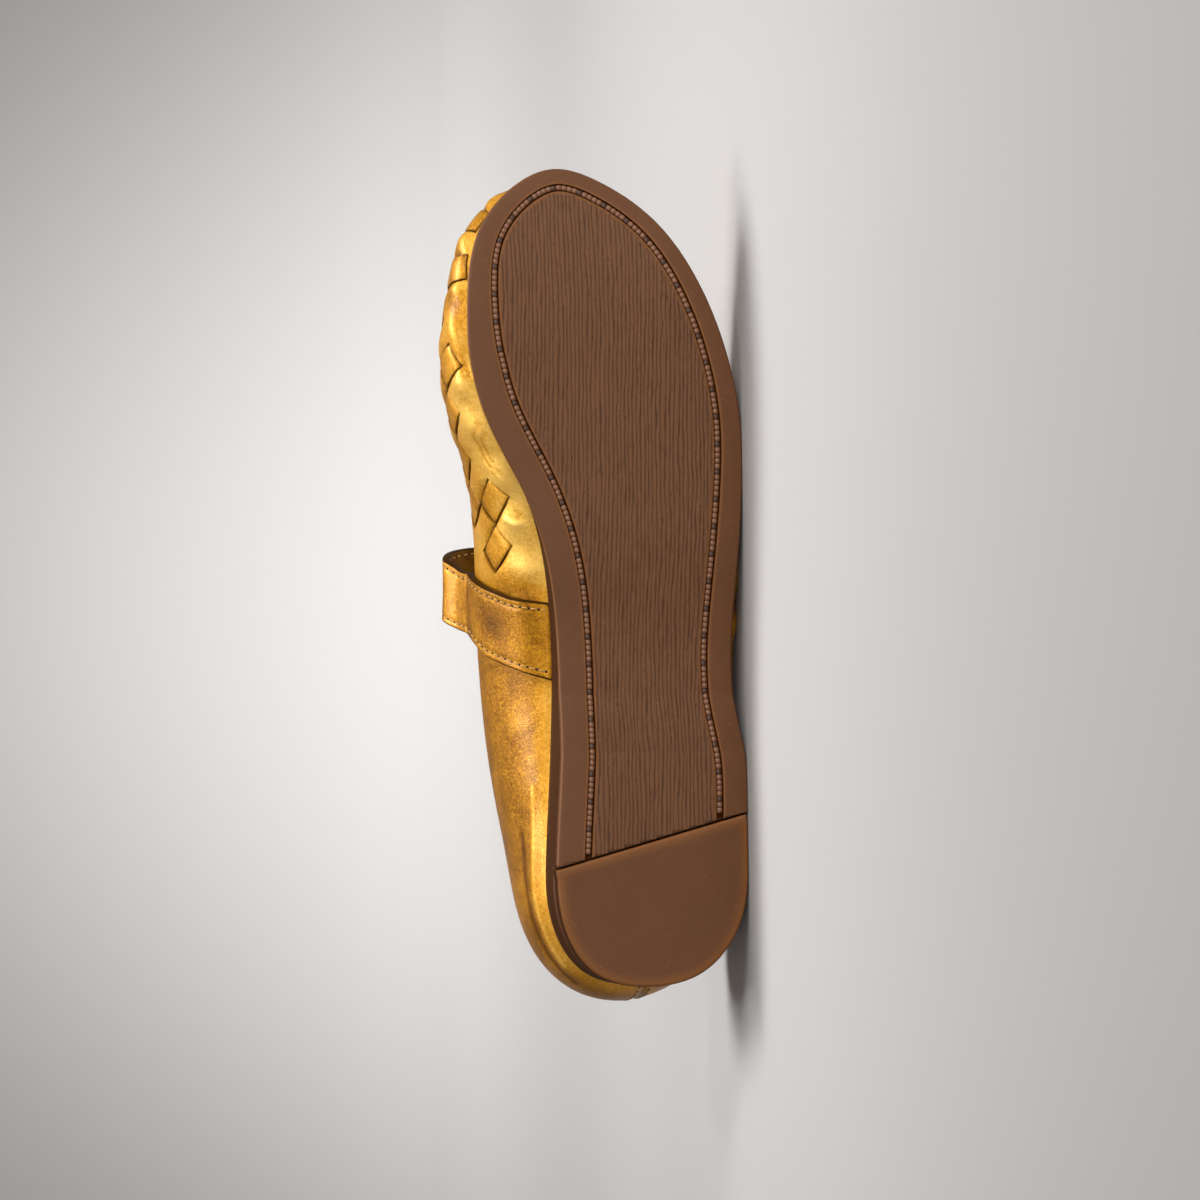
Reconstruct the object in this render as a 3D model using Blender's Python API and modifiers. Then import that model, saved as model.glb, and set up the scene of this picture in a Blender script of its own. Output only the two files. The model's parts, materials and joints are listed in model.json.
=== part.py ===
"""A woman's left mary jane flat: woven leather upper, open strap and moulded rubber sole.

The shoe is worked out standing, in millimetres: x runs from the outer to the inner side,
y from heel to toe, z up from the ground.  It is then laid on its outer side, toe along +X.
"""
import functools
import math

import bmesh
import bpy
import numpy as np
from mathutils import Matrix, Vector
from mathutils.bvhtree import BVHTree
from mathutils.geometry import delaunay_2d_cdt

MM = 0.001
SHARP_ANGLE = math.radians(35.0)

# Driving sizes of the sole
SOLE_LENGTH = 246.0
SOLE_WIDTH = 88.0
FOREFOOT_THICKNESS = 5.0
HEEL_HEIGHT = 14.0
HEEL_TOP_END = 72.0
BALL_TOP_START = 165.0
TOE_SPRING = 7.0
TOE_SPRING_START = 195.0
WAIST_RISE = 3.5
WAIST_BACK = 88.0
WAIST_FRONT = 98.0
HEEL_BREAST = 70.0
TREAD_START = 140.0
TREAD_EDGE_ROUND = 0.8
FOREFOOT_TOP_INSET = 1.2
TOP_INSET_START = 110.0
TOP_INSET_END = 150.0
SOLE_RING_POINTS = 96
SOLE_SPINE = (Vector((30.0, 26.0)), Vector((50.0, 205.0)))
MIDDLE_RING = 0.12
HALF_WAY_RING = 0.55
EDGE_PROBE = 0.5

# Stitch channel in the tread
CHANNEL_WIDTH = 2.2
CHANNEL_DEPTH = 1.0

# Top piece of the heel, behind a slanted joint
HEEL_JOINT_INNER = Vector((58.8, 36.3))
HEEL_JOINT_OUTER = Vector((0.0, 52.5))
HEEL_LIFT_THICKNESS = 4.5

# Clearance between pieces that meet
SEAT_GAP = 0.3

# Insole board and sock
INSOLE_THICKNESS = 3.0

# Upper wall
WALL_THICKNESS = 1.8
FEATHER_INSET = 0.8
INSOLE_INSET = FEATHER_INSET + WALL_THICKNESS + 2 * SEAT_GAP
COLLAR_SPINE = (Vector((30.0, 28.0)), Vector((45.0, 150.0)))
COLLAR_SPINE_SOFTNESS = 20.0
SECTION_STEPS = 24
NORMAL_PROBE = 1.2
RAY_COUNT = 480
COLLAR_POINTS = 90
FEATHER_POINTS = 112
COLLAR_MARGIN = 5.0
FEATHER_MARGIN = 9.0
PLAIN_GRID = 12.0
RING_CLEARANCE = 2.5

# Woven vamp: strips at 45 degrees to the shoe's axis
STRIP_WIDTH = 11.5
WEAVE_CENTRE = (96.3, 151.3)
STRIP_CROWN = 1.4
STRIP_EDGE_RISE = 0.9
STRIP_END_RISE = -0.2
STRIP_CORNER_DIP = -0.5
STRIP_EDGE_STEP = 0.7
VAMP_BACK_INNER = 128.0
VAMP_BACK_OUTER = 108.0

# Strap, sewn on at the inner feather and open at its other end
STRAP_WIDTH = 18.5
STRAP_THICKNESS = 2.4
STRAP_CLEARANCE = 0.6
STRAP_START = 1.2
STRAP_TOP_SHARE = 0.94
STRAP_WALL_ROWS = 7
STRAP_FREE_STEPS = 3
STRAP_ACROSS = 5
STRAP_BLEND = 12.0
STRAP_TURN_RINGS = 9

# Sections around the shoe, from the back of the heel along the inner side.
# edge_x and edge_y are shares of the sole's width and length; the rest are millimetres:
# low and high are the handles of the wall's curve, out is beyond the sole's edge.
SECTIONS = {
    # name:            edge_x edge_y low_out low_up high_out high_down collar_out collar_z
    "heel_back":       (0.347, 0.000, 8.0, 8.0, 9.5, 20.0, -3.5, 65.0),
    "heel_in_corner":  (0.540, 0.017, 6.0, 8.0, 6.5, 20.0, -6.0, 63.5),
    "heel_in":         (0.657, 0.083, 5.0, 8.0, 5.5, 18.0, -5.0, 60.0),
    "seat_in":         (0.673, 0.163, 5.5, 8.0, 7.0, 16.0, 0.8, 56.0),
    "breast_in":       (0.658, 0.285, 8.0, 7.0, 12.5, 14.0, 9.6, 50.5),
    "waist_in":        (0.658, 0.386, 9.0, 7.0, 14.5, 12.0, 13.2, 47.5),
    "arch_in":         (0.688, 0.488, 9.0, 7.0, 15.0, 12.0, 11.4, 47.0),
    "joint_in":        (0.784, 0.596, 9.5, 8.0, 14.5, 9.0, -1.5, 47.0),
    "ball_in":         (0.925, 0.693, 10.5, 8.0, 11.0, 7.0, -22.5, 47.0),
    "ball_front_in":   (0.986, 0.772, 11.5, 8.0, 6.0, 6.5, -40.0, 46.5),
    "toe_in":          (0.992, 0.839, 11.5, 9.0, -4.0, 6.0, -53.0, 46.0),
    "toe_in_corner":   (0.949, 0.919, 9.5, 12.0, -18.0, 7.0, -66.0, 45.5),
    "toe_in_tip":      (0.818, 0.976, 4.0, 14.0, -30.0, 9.0, -74.0, 45.0),
    "toe_tip":         (0.659, 1.000, 2.0, 15.0, -36.0, 11.0, -78.0, 44.5),
    "toe_out_tip":     (0.506, 0.985, 2.0, 14.0, -34.0, 10.0, -75.0, 44.5),
    "toe_out_corner":  (0.314, 0.937, 3.0, 12.0, -24.0, 9.0, -66.0, 44.5),
    "toe_out":         (0.169, 0.863, 4.0, 10.0, -12.0, 8.0, -51.0, 45.0),
    "ball_front_out":  (0.083, 0.790, 5.0, 8.0, -1.0, 8.0, -40.0, 45.0),
    "ball_out":        (0.022, 0.693, 4.5, 7.0, 6.5, 8.0, -28.0, 45.0),
    "joint_out":       (0.016, 0.610, 4.5, 6.0, 5.0, 9.0, -15.5, 46.0),
    "waist_out":       (0.039, 0.455, 8.5, 2.5, 7.5, 11.0, -2.5, 47.0),
    "waist_back_out":  (0.033, 0.350, 8.5, 3.0, 7.5, 13.0, -1.0, 48.5),
    "breast_out":      (0.002, 0.280, 4.5, 6.0, 5.0, 14.0, -1.0, 50.5),
    "seat_out":        (-0.006, 0.183, 2.5, 8.0, 3.5, 16.0, -2.0, 55.0),
    "heel_out":        (0.014, 0.083, 2.5, 8.0, 3.5, 18.0, -3.0, 60.0),
    "heel_out_corner": (0.153, 0.017, 4.5, 8.0, 5.5, 20.0, -3.0, 63.5),
}

# Stitch channel: distance of its middle from the sole's edge, by section
CHANNEL_OFFSETS = {
    # edge_y share: inner side, outer side
    0.00: (9.5, 8.9),
    0.30: (9.4, 8.9),
    0.55: (9.6, 8.4),
    0.75: (10.0, 7.2),
    1.00: (5.8, 5.8),
}

# Edges of the strap on the upper, by share of the way from feather to collar
STRAP_EDGES = {
    # share: back y, front y
    0.00: (92.0, 115.8),
    0.33: (95.5, 117.0),
    0.67: (99.0, 120.0),
    1.00: (105.0, 123.6),
}

# Middle line of the free strap; rise is its height above the floor on which the shoe lies
STRAP_ROUTE = {
    # name:    rise, y, z
    "leaving": (82.5, 116.5, 52.0),
    "fold":    (86.0, 119.5, 59.0),
    "return":  (82.0, 122.5, 67.5),
    "crown":   (69.0, 123.5, 73.5),
    "middle":  (50.0, 120.0, 77.0),
    "hang":    (30.0, 114.0, 78.5),
    "low":     (14.0, 108.5, 81.5),
    "bend":    (5.0, 104.0, 88.5),
    "floor":   (2.0, 100.0, 98.5),
    "tip":     (1.7, 95.5, 112.0),
}

# Colours as sRGB, with roughness
COLOURS = {
    "outsole": ((0.455, 0.310, 0.205), 0.55),
    "heel_lift": ((0.420, 0.282, 0.192), 0.50),
    "insole": ((0.780, 0.620, 0.380), 0.70),
    "upper": ((0.769, 0.541, 0.165), 0.38),
    "strap": ((0.769, 0.541, 0.165), 0.38),
}


def smooth(share):
    """Ease from 0 to 1."""
    share = min(max(share, 0.0), 1.0)
    return share * share * (3.0 - 2.0 * share)


def between(table, share, column):
    """Read a column of a table that is keyed by share."""
    keys = list(table)
    return float(np.interp(share, keys, [table[key][column] for key in keys]))


# Heights of the sole along the foot

def toe_spring(y):
    return TOE_SPRING * max(0.0, (y - TOE_SPRING_START) / (SOLE_LENGTH - TOE_SPRING_START)) ** 2


def sole_top(y):
    fall = smooth((y - HEEL_TOP_END) / (BALL_TOP_START - HEEL_TOP_END))
    return HEEL_HEIGHT + (FOREFOOT_THICKNESS - HEEL_HEIGHT) * fall + toe_spring(y)


def sole_bottom(y):
    behind = min(max((y - HEEL_BREAST) / (WAIST_BACK - HEEL_BREAST), 0.0), 1.0)
    ahead = 1.0 - smooth((y - WAIST_FRONT) / (TREAD_START - WAIST_FRONT))
    return WAIST_RISE * behind * ahead + toe_spring(y)


def top_inset(y):
    return FOREFOOT_TOP_INSET * smooth((y - TOP_INSET_START) / (TOP_INSET_END - TOP_INSET_START))


# Closed smooth curve through the section table, by distance around the sole's edge

ROWS = np.array(list(SECTIONS.values()))
ROWS[:, 0] *= SOLE_WIDTH
ROWS[:, 1] *= SOLE_LENGTH
STEPS = np.linalg.norm(np.roll(ROWS, -1, axis=0)[:, :2] - ROWS[:, :2], axis=1)
KNOTS = np.concatenate(([0.0], np.cumsum(STEPS)))
GIRTH = float(KNOTS[-1])
TOE_PLACE = float(KNOTS[list(SECTIONS).index("toe_tip")])


def spline_bends():
    count = len(ROWS)
    slopes = (np.roll(ROWS, -1, axis=0) - ROWS) / STEPS[:, None]
    matrix = np.zeros((count, count))
    for row in range(count):
        matrix[row, row - 1] = STEPS[row - 1]
        matrix[row, row] = 2.0 * (STEPS[row - 1] + STEPS[row])
        matrix[row, (row + 1) % count] = STEPS[row]
    return np.linalg.solve(matrix, 6.0 * (slopes - np.roll(slopes, 1, axis=0)))


BENDS = spline_bends()


def section(place):
    """All columns of the section table at a distance around the sole's edge."""
    place = place % GIRTH
    row = int(np.searchsorted(KNOTS, place, side="right")) - 1
    after = (row + 1) % len(ROWS)
    span = STEPS[row]
    b = (place - KNOTS[row]) / span
    a = 1.0 - b
    bend = (a ** 3 - a) * BENDS[row] + (b ** 3 - b) * BENDS[after]
    return a * ROWS[row] + b * ROWS[after] + bend * span * span / 6.0


def sole_edge(place, inset=0.0):
    """Point of the sole's outline, moved inwards square to the edge."""
    x, y = section(place)[:2]
    before = section(place - EDGE_PROBE)[:2]
    after = section(place + EDGE_PROBE)[:2]
    outwards = Vector((after[1] - before[1], before[0] - after[0])).normalized()
    return Vector((x, y)) - outwards * inset


def places_around(count):
    return [GIRTH * step / count for step in range(count)]


# Making objects

for old in list(bpy.data.objects):
    bpy.data.objects.remove(old, do_unlink=True)

SHOE = bpy.data.collections.new("mary_jane_flat")
CUTTERS = bpy.data.collections.new("cutters")
bpy.context.scene.collection.children.link(SHOE)
bpy.context.scene.collection.children.link(CUTTERS)


def to_linear(value):
    return value / 12.92 if value <= 0.04045 else ((value + 0.055) / 1.055) ** 2.4


def finish(name):
    """Material of one piece."""
    colour, roughness = COLOURS[name]
    material = bpy.data.materials.new(name)
    material.use_nodes = True
    shader = material.node_tree.nodes["Principled BSDF"]
    shader.inputs["Base Color"].default_value = (*map(to_linear, colour), 1.0)
    shader.inputs["Roughness"].default_value = roughness
    shader.inputs["Metallic"].default_value = 0.0
    return material


def add_object(name, bm, collection):
    """Turn a mesh in millimetres into an object in metres."""
    bmesh.ops.recalc_face_normals(bm, faces=bm.faces)
    bmesh.ops.scale(bm, vec=(MM, MM, MM), verts=bm.verts)
    mesh = bpy.data.meshes.new(name)
    bm.to_mesh(mesh)
    bm.free()
    mesh.shade_smooth()
    mesh.set_sharp_from_angle(angle=SHARP_ANGLE)
    piece = bpy.data.objects.new(name, mesh)
    collection.objects.link(piece)
    return piece


def ringed_solid(rings):
    """Closed mesh through rings of points, both ends filled."""
    bm = bmesh.new()
    loops = [[bm.verts.new(point) for point in ring] for ring in rings]
    count = len(loops[0])
    for ring, following in zip(loops, loops[1:]):
        for step in range(count):
            after = (step + 1) % count
            bm.faces.new((ring[step], ring[after], following[after], following[step]))
    for ring in (loops[0], loops[-1]):
        edges = [bm.edges.get((ring[step], ring[step - 1])) for step in range(count)]
        bmesh.ops.triangle_fill(bm, edges=edges, use_beauty=True)
    return bm


def cut(piece, cutter, operation):
    modifier = piece.modifiers.new(cutter.name, "BOOLEAN")
    modifier.operation = operation
    modifier.solver = "EXACT"
    modifier.object = cutter


# Outsole and the top piece of its heel

def sole_spine(point):
    low, high = SOLE_SPINE
    share = min(max((point.y - low.y) / (high.y - low.y), 0.0), 1.0)
    return low.lerp(high, share)


def channel_offset(place):
    column = 0 if place < TOE_PLACE else 1
    return between(CHANNEL_OFFSETS, section(place)[1] / SOLE_LENGTH, column)


def ring_on(height, flat_points, lift=0.0):
    return [(point.x, point.y, height(point.y) + lift) for point in flat_points]


def towards_spine(flat_points, share):
    return [sole_spine(point).lerp(point, share) for point in flat_points]


def sole_rings(channel_depth):
    """Rings from the middle of the sole's top, over its side, to the middle of the tread."""
    places = places_around(SOLE_RING_POINTS)
    top_edge = [sole_edge(place, top_inset(section(place)[1])) for place in places]
    side = [sole_edge(place) for place in places]
    tread_edge = [sole_edge(place, TREAD_EDGE_ROUND) for place in places]
    half = CHANNEL_WIDTH / 2
    outer_lip = [sole_edge(place, channel_offset(place) - half) for place in places]
    inner_lip = [sole_edge(place, channel_offset(place) + half) for place in places]
    return [
        ring_on(sole_top, towards_spine(top_edge, MIDDLE_RING)),
        ring_on(sole_top, towards_spine(top_edge, HALF_WAY_RING)),
        ring_on(sole_top, top_edge),
        ring_on(sole_bottom, side, TREAD_EDGE_ROUND),
        ring_on(sole_bottom, tread_edge),
        ring_on(sole_bottom, outer_lip),
        ring_on(sole_bottom, outer_lip, channel_depth),
        ring_on(sole_bottom, inner_lip, channel_depth),
        ring_on(sole_bottom, inner_lip),
        ring_on(sole_bottom, towards_spine(inner_lip, HALF_WAY_RING)),
        ring_on(sole_bottom, towards_spine(inner_lip, MIDDLE_RING)),
    ]


def plain_rings():
    """The same rings without the channel."""
    rings = sole_rings(0.0)
    return rings[:5] + rings[9:]


def heel_block(name, gap):
    """Cutter for everything of the sole behind the slanted joint and below the lift's top."""
    along = (HEEL_JOINT_OUTER - HEEL_JOINT_INNER).normalized()
    forwards = Vector((along.y, -along.x))
    reach = SOLE_WIDTH
    inner = HEEL_JOINT_INNER - along * reach - forwards * gap
    outer = HEEL_JOINT_OUTER + along * reach - forwards * gap
    corners = (inner, outer, outer - forwards * reach, inner - forwards * reach)
    heights = (-HEEL_LIFT_THICKNESS, HEEL_LIFT_THICKNESS - gap)
    block = add_object(name, ringed_solid([[(*c, z) for c in corners] for z in heights]), CUTTERS)
    block.hide_render = True
    block.display_type = "WIRE"
    return block


outsole = add_object("outsole", ringed_solid(sole_rings(CHANNEL_DEPTH)), SHOE)
cut(outsole, heel_block("heel_recess", 0.0), "DIFFERENCE")
heel_lift = add_object("heel_lift", ringed_solid(plain_rings()), SHOE)
cut(heel_lift, heel_block("heel_lift_block", SEAT_GAP), "INTERSECT")


# Insole, seated on the sole inside the wall

def insole_rings():
    outline = []
    for place in places_around(SOLE_RING_POINTS):
        outline.append(sole_edge(place, INSOLE_INSET + top_inset(section(place)[1])))
    middle = towards_spine(outline, MIDDLE_RING)
    half_way = towards_spine(outline, HALF_WAY_RING)
    top = SEAT_GAP + INSOLE_THICKNESS
    return [
        ring_on(sole_top, middle, SEAT_GAP),
        ring_on(sole_top, half_way, SEAT_GAP),
        ring_on(sole_top, outline, SEAT_GAP),
        ring_on(sole_top, outline, top),
        ring_on(sole_top, half_way, top),
        ring_on(sole_top, middle, top),
    ]


insole = add_object("insole", ringed_solid(insole_rings()), SHOE)


# Upper wall: a curve in an upright plane at each place around the sole

def soft_least(a, b):
    return (a + b - math.hypot(a - b, COLLAR_SPINE_SOFTNESS)) / 2


def soft_most(a, b):
    return (a + b + math.hypot(a - b, COLLAR_SPINE_SOFTNESS)) / 2


def collar_spine(edge):
    """Point on the foot's middle line from which the wall's plane at an edge point starts."""
    low, high = COLLAR_SPINE
    y = soft_most(soft_least(edge.y, high.y), low.y)
    return low.lerp(high, (y - low.y) / (high.y - low.y))


@functools.lru_cache(maxsize=None)
def wall_curve(place):
    """Start and direction of the plane, collar distance, points from collar down, lengths."""
    x, y, low_out, low_up, high_out, high_down, collar_out, collar_z = section(place)
    edge = Vector((x, y))
    start = collar_spine(edge)
    outwards = (edge - start).normalized()
    reach = (edge - start).length
    foot = Vector((-FEATHER_INSET - top_inset(y), sole_top(y) + SEAT_GAP))
    low = Vector((low_out, foot.y + low_up))
    high = Vector((high_out, collar_z - high_down))
    collar = Vector((collar_out, collar_z))
    points = []
    for step in range(SECTION_STEPS + 1):
        t = step / SECTION_STEPS
        weights = ((1 - t) ** 3, 3 * t * (1 - t) ** 2, 3 * t * t * (1 - t), t ** 3)
        points.append(sum((w * p for w, p in zip(weights, (collar, high, low, foot))), Vector((0, 0))))
    lengths = [0.0]
    for before, after in zip(points, points[1:]):
        lengths.append(lengths[-1] + (after - before).length)
    return start, outwards, reach, points, lengths


def wall_length(place):
    return wall_curve(place)[4][-1]


def wall(place, down):
    """Point on the wall's outer face, down along its curve from the collar."""
    start, outwards, reach, points, lengths = wall_curve(place)
    out = float(np.interp(down, lengths, [point.x for point in points]))
    z = float(np.interp(down, lengths, [point.y for point in points]))
    flat = start + outwards * (reach + out)
    return Vector((flat.x, flat.y, z))


def wall_normal(place, down):
    upper_end = min(max(down - NORMAL_PROBE, 0.0), wall_length(place) - 2 * NORMAL_PROBE)
    downwards = wall(place, upper_end + 2 * NORMAL_PROBE) - wall(place, upper_end)
    across = wall(place + NORMAL_PROBE, down) - wall(place - NORMAL_PROBE, down)
    return downwards.cross(across).normalized()


def flat_place(place, down):
    """Where a point of the wall lies when its curves are laid out flat."""
    start, outwards, reach, points, _ = wall_curve(place)
    return start + outwards * (reach + points[0].x + down)


RAYS = [(place, *wall_curve(place)[:2]) for place in places_around(RAY_COUNT)]


def wall_place(flat):
    """Place and distance down the wall of a point of the flat pattern."""
    turns = [(flat - start).cross(outwards) for _, start, outwards in RAYS]
    for index, (place, start, outwards) in enumerate(RAYS):
        following = (index + 1) % RAY_COUNT
        if turns[index] <= 0.0 < turns[following] and (flat - start).dot(outwards) > 0.0:
            share = turns[index] / (turns[index] - turns[following])
            found = place + share * GIRTH / RAY_COUNT
            start, outwards, reach, points, _ = wall_curve(found)
            return found, (flat - start).dot(outwards) - reach - points[0].x
    raise ValueError("point outside the flat pattern")


def on_vamp(flat):
    back = VAMP_BACK_INNER if flat.x > COLLAR_SPINE[1].x else VAMP_BACK_OUTER
    return flat.y > back


def weave_points():
    """Flat places of the weave with their rise, for each square where one strip shows."""
    along_one = Vector((1.0, 1.0)).normalized()
    along_two = Vector((-1.0, 1.0)).normalized()
    half = STRIP_WIDTH / 2
    edge = half - STRIP_EDGE_STEP
    count = math.ceil(SOLE_LENGTH / STRIP_WIDTH)
    for one in range(-count, count):
        for two in range(-count, count):
            middle = Vector(WEAVE_CENTRE) + (along_one * one + along_two * two) * STRIP_WIDTH
            runs, side = (along_one, along_two) if (one + two) % 2 == 0 else (along_two, along_one)
            yield middle, STRIP_CROWN
            for sign in (-1.0, 1.0):
                yield middle + side * (sign * edge), STRIP_EDGE_RISE
                yield middle + runs * (sign * edge), STRIP_END_RISE
            yield middle + (along_one + along_two) * half, STRIP_CORNER_DIP


def plain_points():
    """Flat places on the quarters behind the woven vamp."""
    count = math.ceil(SOLE_LENGTH / PLAIN_GRID)
    for column in range(-count, count):
        for row in range(-count, count):
            yield Vector((column, row)) * PLAIN_GRID, 0.0


def upper_sheet():
    """Outer face of the upper, triangulated on its flat pattern and set on the last."""
    flats = []
    spots = []
    rises = []
    borders = []

    def add(place, down, rise):
        flats.append(flat_place(place, down))
        spots.append((place, down))
        rises.append(rise)

    for count, at_feather in ((COLLAR_POINTS, False), (FEATHER_POINTS, True)):
        first = len(flats)
        for place in places_around(count):
            add(place, wall_length(place) if at_feather else 0.0, 0.0)
        borders += [(first + step, first + (step + 1) % count) for step in range(count)]
    for place in places_around(COLLAR_POINTS):
        add(place, COLLAR_MARGIN, 0.0)
    for place in places_around(FEATHER_POINTS):
        add(place, wall_length(place) - FEATHER_MARGIN / 2, 0.0)
        add(place, wall_length(place) - FEATHER_MARGIN, 0.0)
    for points, woven in ((weave_points(), True), (plain_points(), False)):
        for flat, rise in points:
            if on_vamp(flat) != woven:
                continue
            try:
                place, down = wall_place(flat)
            except ValueError:
                continue
            lowest = wall_length(place) - FEATHER_MARGIN - RING_CLEARANCE
            if COLLAR_MARGIN + RING_CLEARANCE < down < lowest:
                add(place, down, rise)

    triangles = delaunay_2d_cdt(flats, borders, [], 0, 1e-4)[2]
    bm = bmesh.new()
    verts = []
    for (place, down), rise in zip(spots, rises):
        point = wall(place, down)
        if rise:
            point += wall_normal(place, down) * rise
        verts.append(bm.verts.new(point))
    for corners in triangles:
        middle = sum((flats[corner] for corner in corners), Vector((0.0, 0.0))) / 3
        try:
            place, down = wall_place(middle)
        except ValueError:
            continue
        if 0.0 < down < wall_length(place):
            bm.faces.new([verts[corner] for corner in corners])
    loose = [vert for vert in bm.verts if not vert.link_faces]
    bmesh.ops.delete(bm, geom=loose, context="VERTS")
    return bm


upper = add_object("upper", upper_sheet(), SHOE)
shell = upper.modifiers.new("wall", "SOLIDIFY")
shell.thickness = WALL_THICKNESS * MM
shell.offset = -1.0


# Floor on which the shoe lies: the side of its hull below its balance point

def floor_plane(pieces, balance):
    """Point and upward normal, in millimetres, of the plane that the pieces rest on."""
    bpy.context.view_layer.update()
    depsgraph = bpy.context.evaluated_depsgraph_get()
    bm = bmesh.new()
    for piece in pieces:
        for vert in piece.evaluated_get(depsgraph).data.vertices:
            bm.verts.new(vert.co / MM)
    bmesh.ops.convex_hull(bm, input=bm.verts)
    tree = BVHTree.FromBMesh(bm)
    upwards = Vector((1.0, 0.0, 0.0))
    for _ in range(8):
        point, outwards, _, _ = tree.ray_cast(balance, -upwards)
        upwards = -outwards
    bm.free()
    return point, upwards


BALANCE_POINT = Vector((36.0, 112.0, 15.0))
FLOOR_POINT, FLOOR_UP = floor_plane((outsole, heel_lift, upper), BALANCE_POINT)


def above_floor(rise, y, z):
    """Point of the standing shoe at a height above the floor on which it will lie."""
    point = Vector((0.0, y, z))
    point.x = (rise - (point - FLOOR_POINT).dot(FLOOR_UP)) / FLOOR_UP.x
    return point


# Strap: up the inner wall, looped over the instep and slack down to the floor

def inner_place(y):
    """Place on the inner side where the sole's edge has this y."""
    low, high = 0.0, TOE_PLACE
    for _ in range(40):
        middle = (low + high) / 2
        if section(middle)[1] < y:
            low = middle
        else:
            high = middle
    return low


def strap_wall_ring(share):
    """Section of the strap lying against the wall."""
    inner = []
    outer = []
    for step in range(STRAP_ACROSS):
        across = step / (STRAP_ACROSS - 1)
        back = between(STRAP_EDGES, share, 0)
        front = between(STRAP_EDGES, share, 1)
        place = inner_place(back + (front - back) * across)
        rise = STRAP_START + (wall_length(place) - STRAP_START) * share * STRAP_TOP_SHARE
        down = wall_length(place) - rise
        outwards = wall_curve(place)[1]
        level = Vector((outwards.x, outwards.y, 0.0))
        normal = level.lerp(wall_normal(place, down), smooth(rise / STRAP_BLEND)).normalized()
        lean = normal.dot(wall_normal(place, down))
        inner.append(wall(place, down) + normal * (STRAP_CLEARANCE / lean))
        outer.append(wall(place, down) + normal * ((STRAP_CLEARANCE + STRAP_THICKNESS) / lean))
    return inner + outer[::-1]


def strap_free_ring(middle, along, turned):
    """Section of the free strap, level at the collar and then turned square to its middle line."""
    level = Vector((0.0, 1.0, 0.0))
    square = (level - along * level.dot(along)).normalized()
    width = level.lerp(square, turned).normalized()
    normal = width.cross(along).normalized()
    inner = []
    outer = []
    for step in range(STRAP_ACROSS):
        across = (step / (STRAP_ACROSS - 1) - 0.5) * STRAP_WIDTH
        inner.append(middle + width * across - normal * (STRAP_THICKNESS / 2))
        outer.append(middle + width * across + normal * (STRAP_THICKNESS / 2))
    return inner + outer[::-1]


def curve_through(points, steps):
    """Points and directions along a smooth curve through a route."""
    ends = [2 * points[0] - points[1]] + points + [2 * points[-1] - points[-2]]
    found = []
    for index in range(1, len(points)):
        a, b, c, d = ends[index - 1:index + 3]
        for step in range(steps):
            t = step / steps
            spot = b + (c - a) * (t / 2) + (2 * a - 5 * b + 4 * c - d) * (t * t / 2)
            spot += (3 * b - a - 3 * c + d) * (t ** 3 / 2)
            slope = (c - a) / 2 + (2 * a - 5 * b + 4 * c - d) * t + (3 * b - a - 3 * c + d) * (1.5 * t * t)
            found.append((spot, slope.normalized()))
    found.append((points[-1], (points[-1] - points[-2]).normalized()))
    return found


def strap_rings():
    rings = [strap_wall_ring(step / (STRAP_WALL_ROWS - 1)) for step in range(STRAP_WALL_ROWS)]
    top = sum((Vector(point) for point in rings[-1]), Vector()) / len(rings[-1])
    route = [top] + [above_floor(*row) for row in STRAP_ROUTE.values()]
    for index, (middle, along) in enumerate(curve_through(route, STRAP_FREE_STEPS)[1:]):
        rings.append(strap_free_ring(middle, along, smooth(index / STRAP_TURN_RINGS)))
    return rings


strap = add_object("strap", ringed_solid(strap_rings()), SHOE)


# Lay the shoe on its outer side: toe along +X, sole facing -Y, middle of its box at the origin

PIECES = (outsole, heel_lift, insole, upper, strap)


def lying_matrix():
    toewards = Vector((0.0, 1.0, 0.0))
    toewards = (toewards - FLOOR_UP * toewards.dot(FLOOR_UP)).normalized()
    turn = Matrix((toewards, FLOOR_UP.cross(toewards), FLOOR_UP)).to_4x4()
    bpy.context.view_layer.update()
    depsgraph = bpy.context.evaluated_depsgraph_get()
    corners = [turn @ vert.co for piece in PIECES for vert in piece.evaluated_get(depsgraph).data.vertices]
    low = [min(corner[axis] for corner in corners) for axis in range(3)]
    high = [max(corner[axis] for corner in corners) for axis in range(3)]
    middle = Vector(((low[0] + high[0]) / 2, (low[1] + high[1]) / 2, low[2]))
    return Matrix.Translation(-middle) @ turn


LYING = lying_matrix()
laid_down = bpy.data.objects.new("laid_down", None)
laid_down.matrix_world = LYING
SHOE.objects.link(laid_down)
for piece in PIECES + tuple(CUTTERS.objects):
    piece.parent = laid_down
for piece in PIECES:
    piece.data.materials.append(finish(piece.name))
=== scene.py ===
import json
import math

import bmesh
import bpy
import numpy as np
from mathutils import Matrix, Vector, noise
from mathutils.bvhtree import BVHTree
from mathutils.geometry import delaunay_2d_cdt


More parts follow.
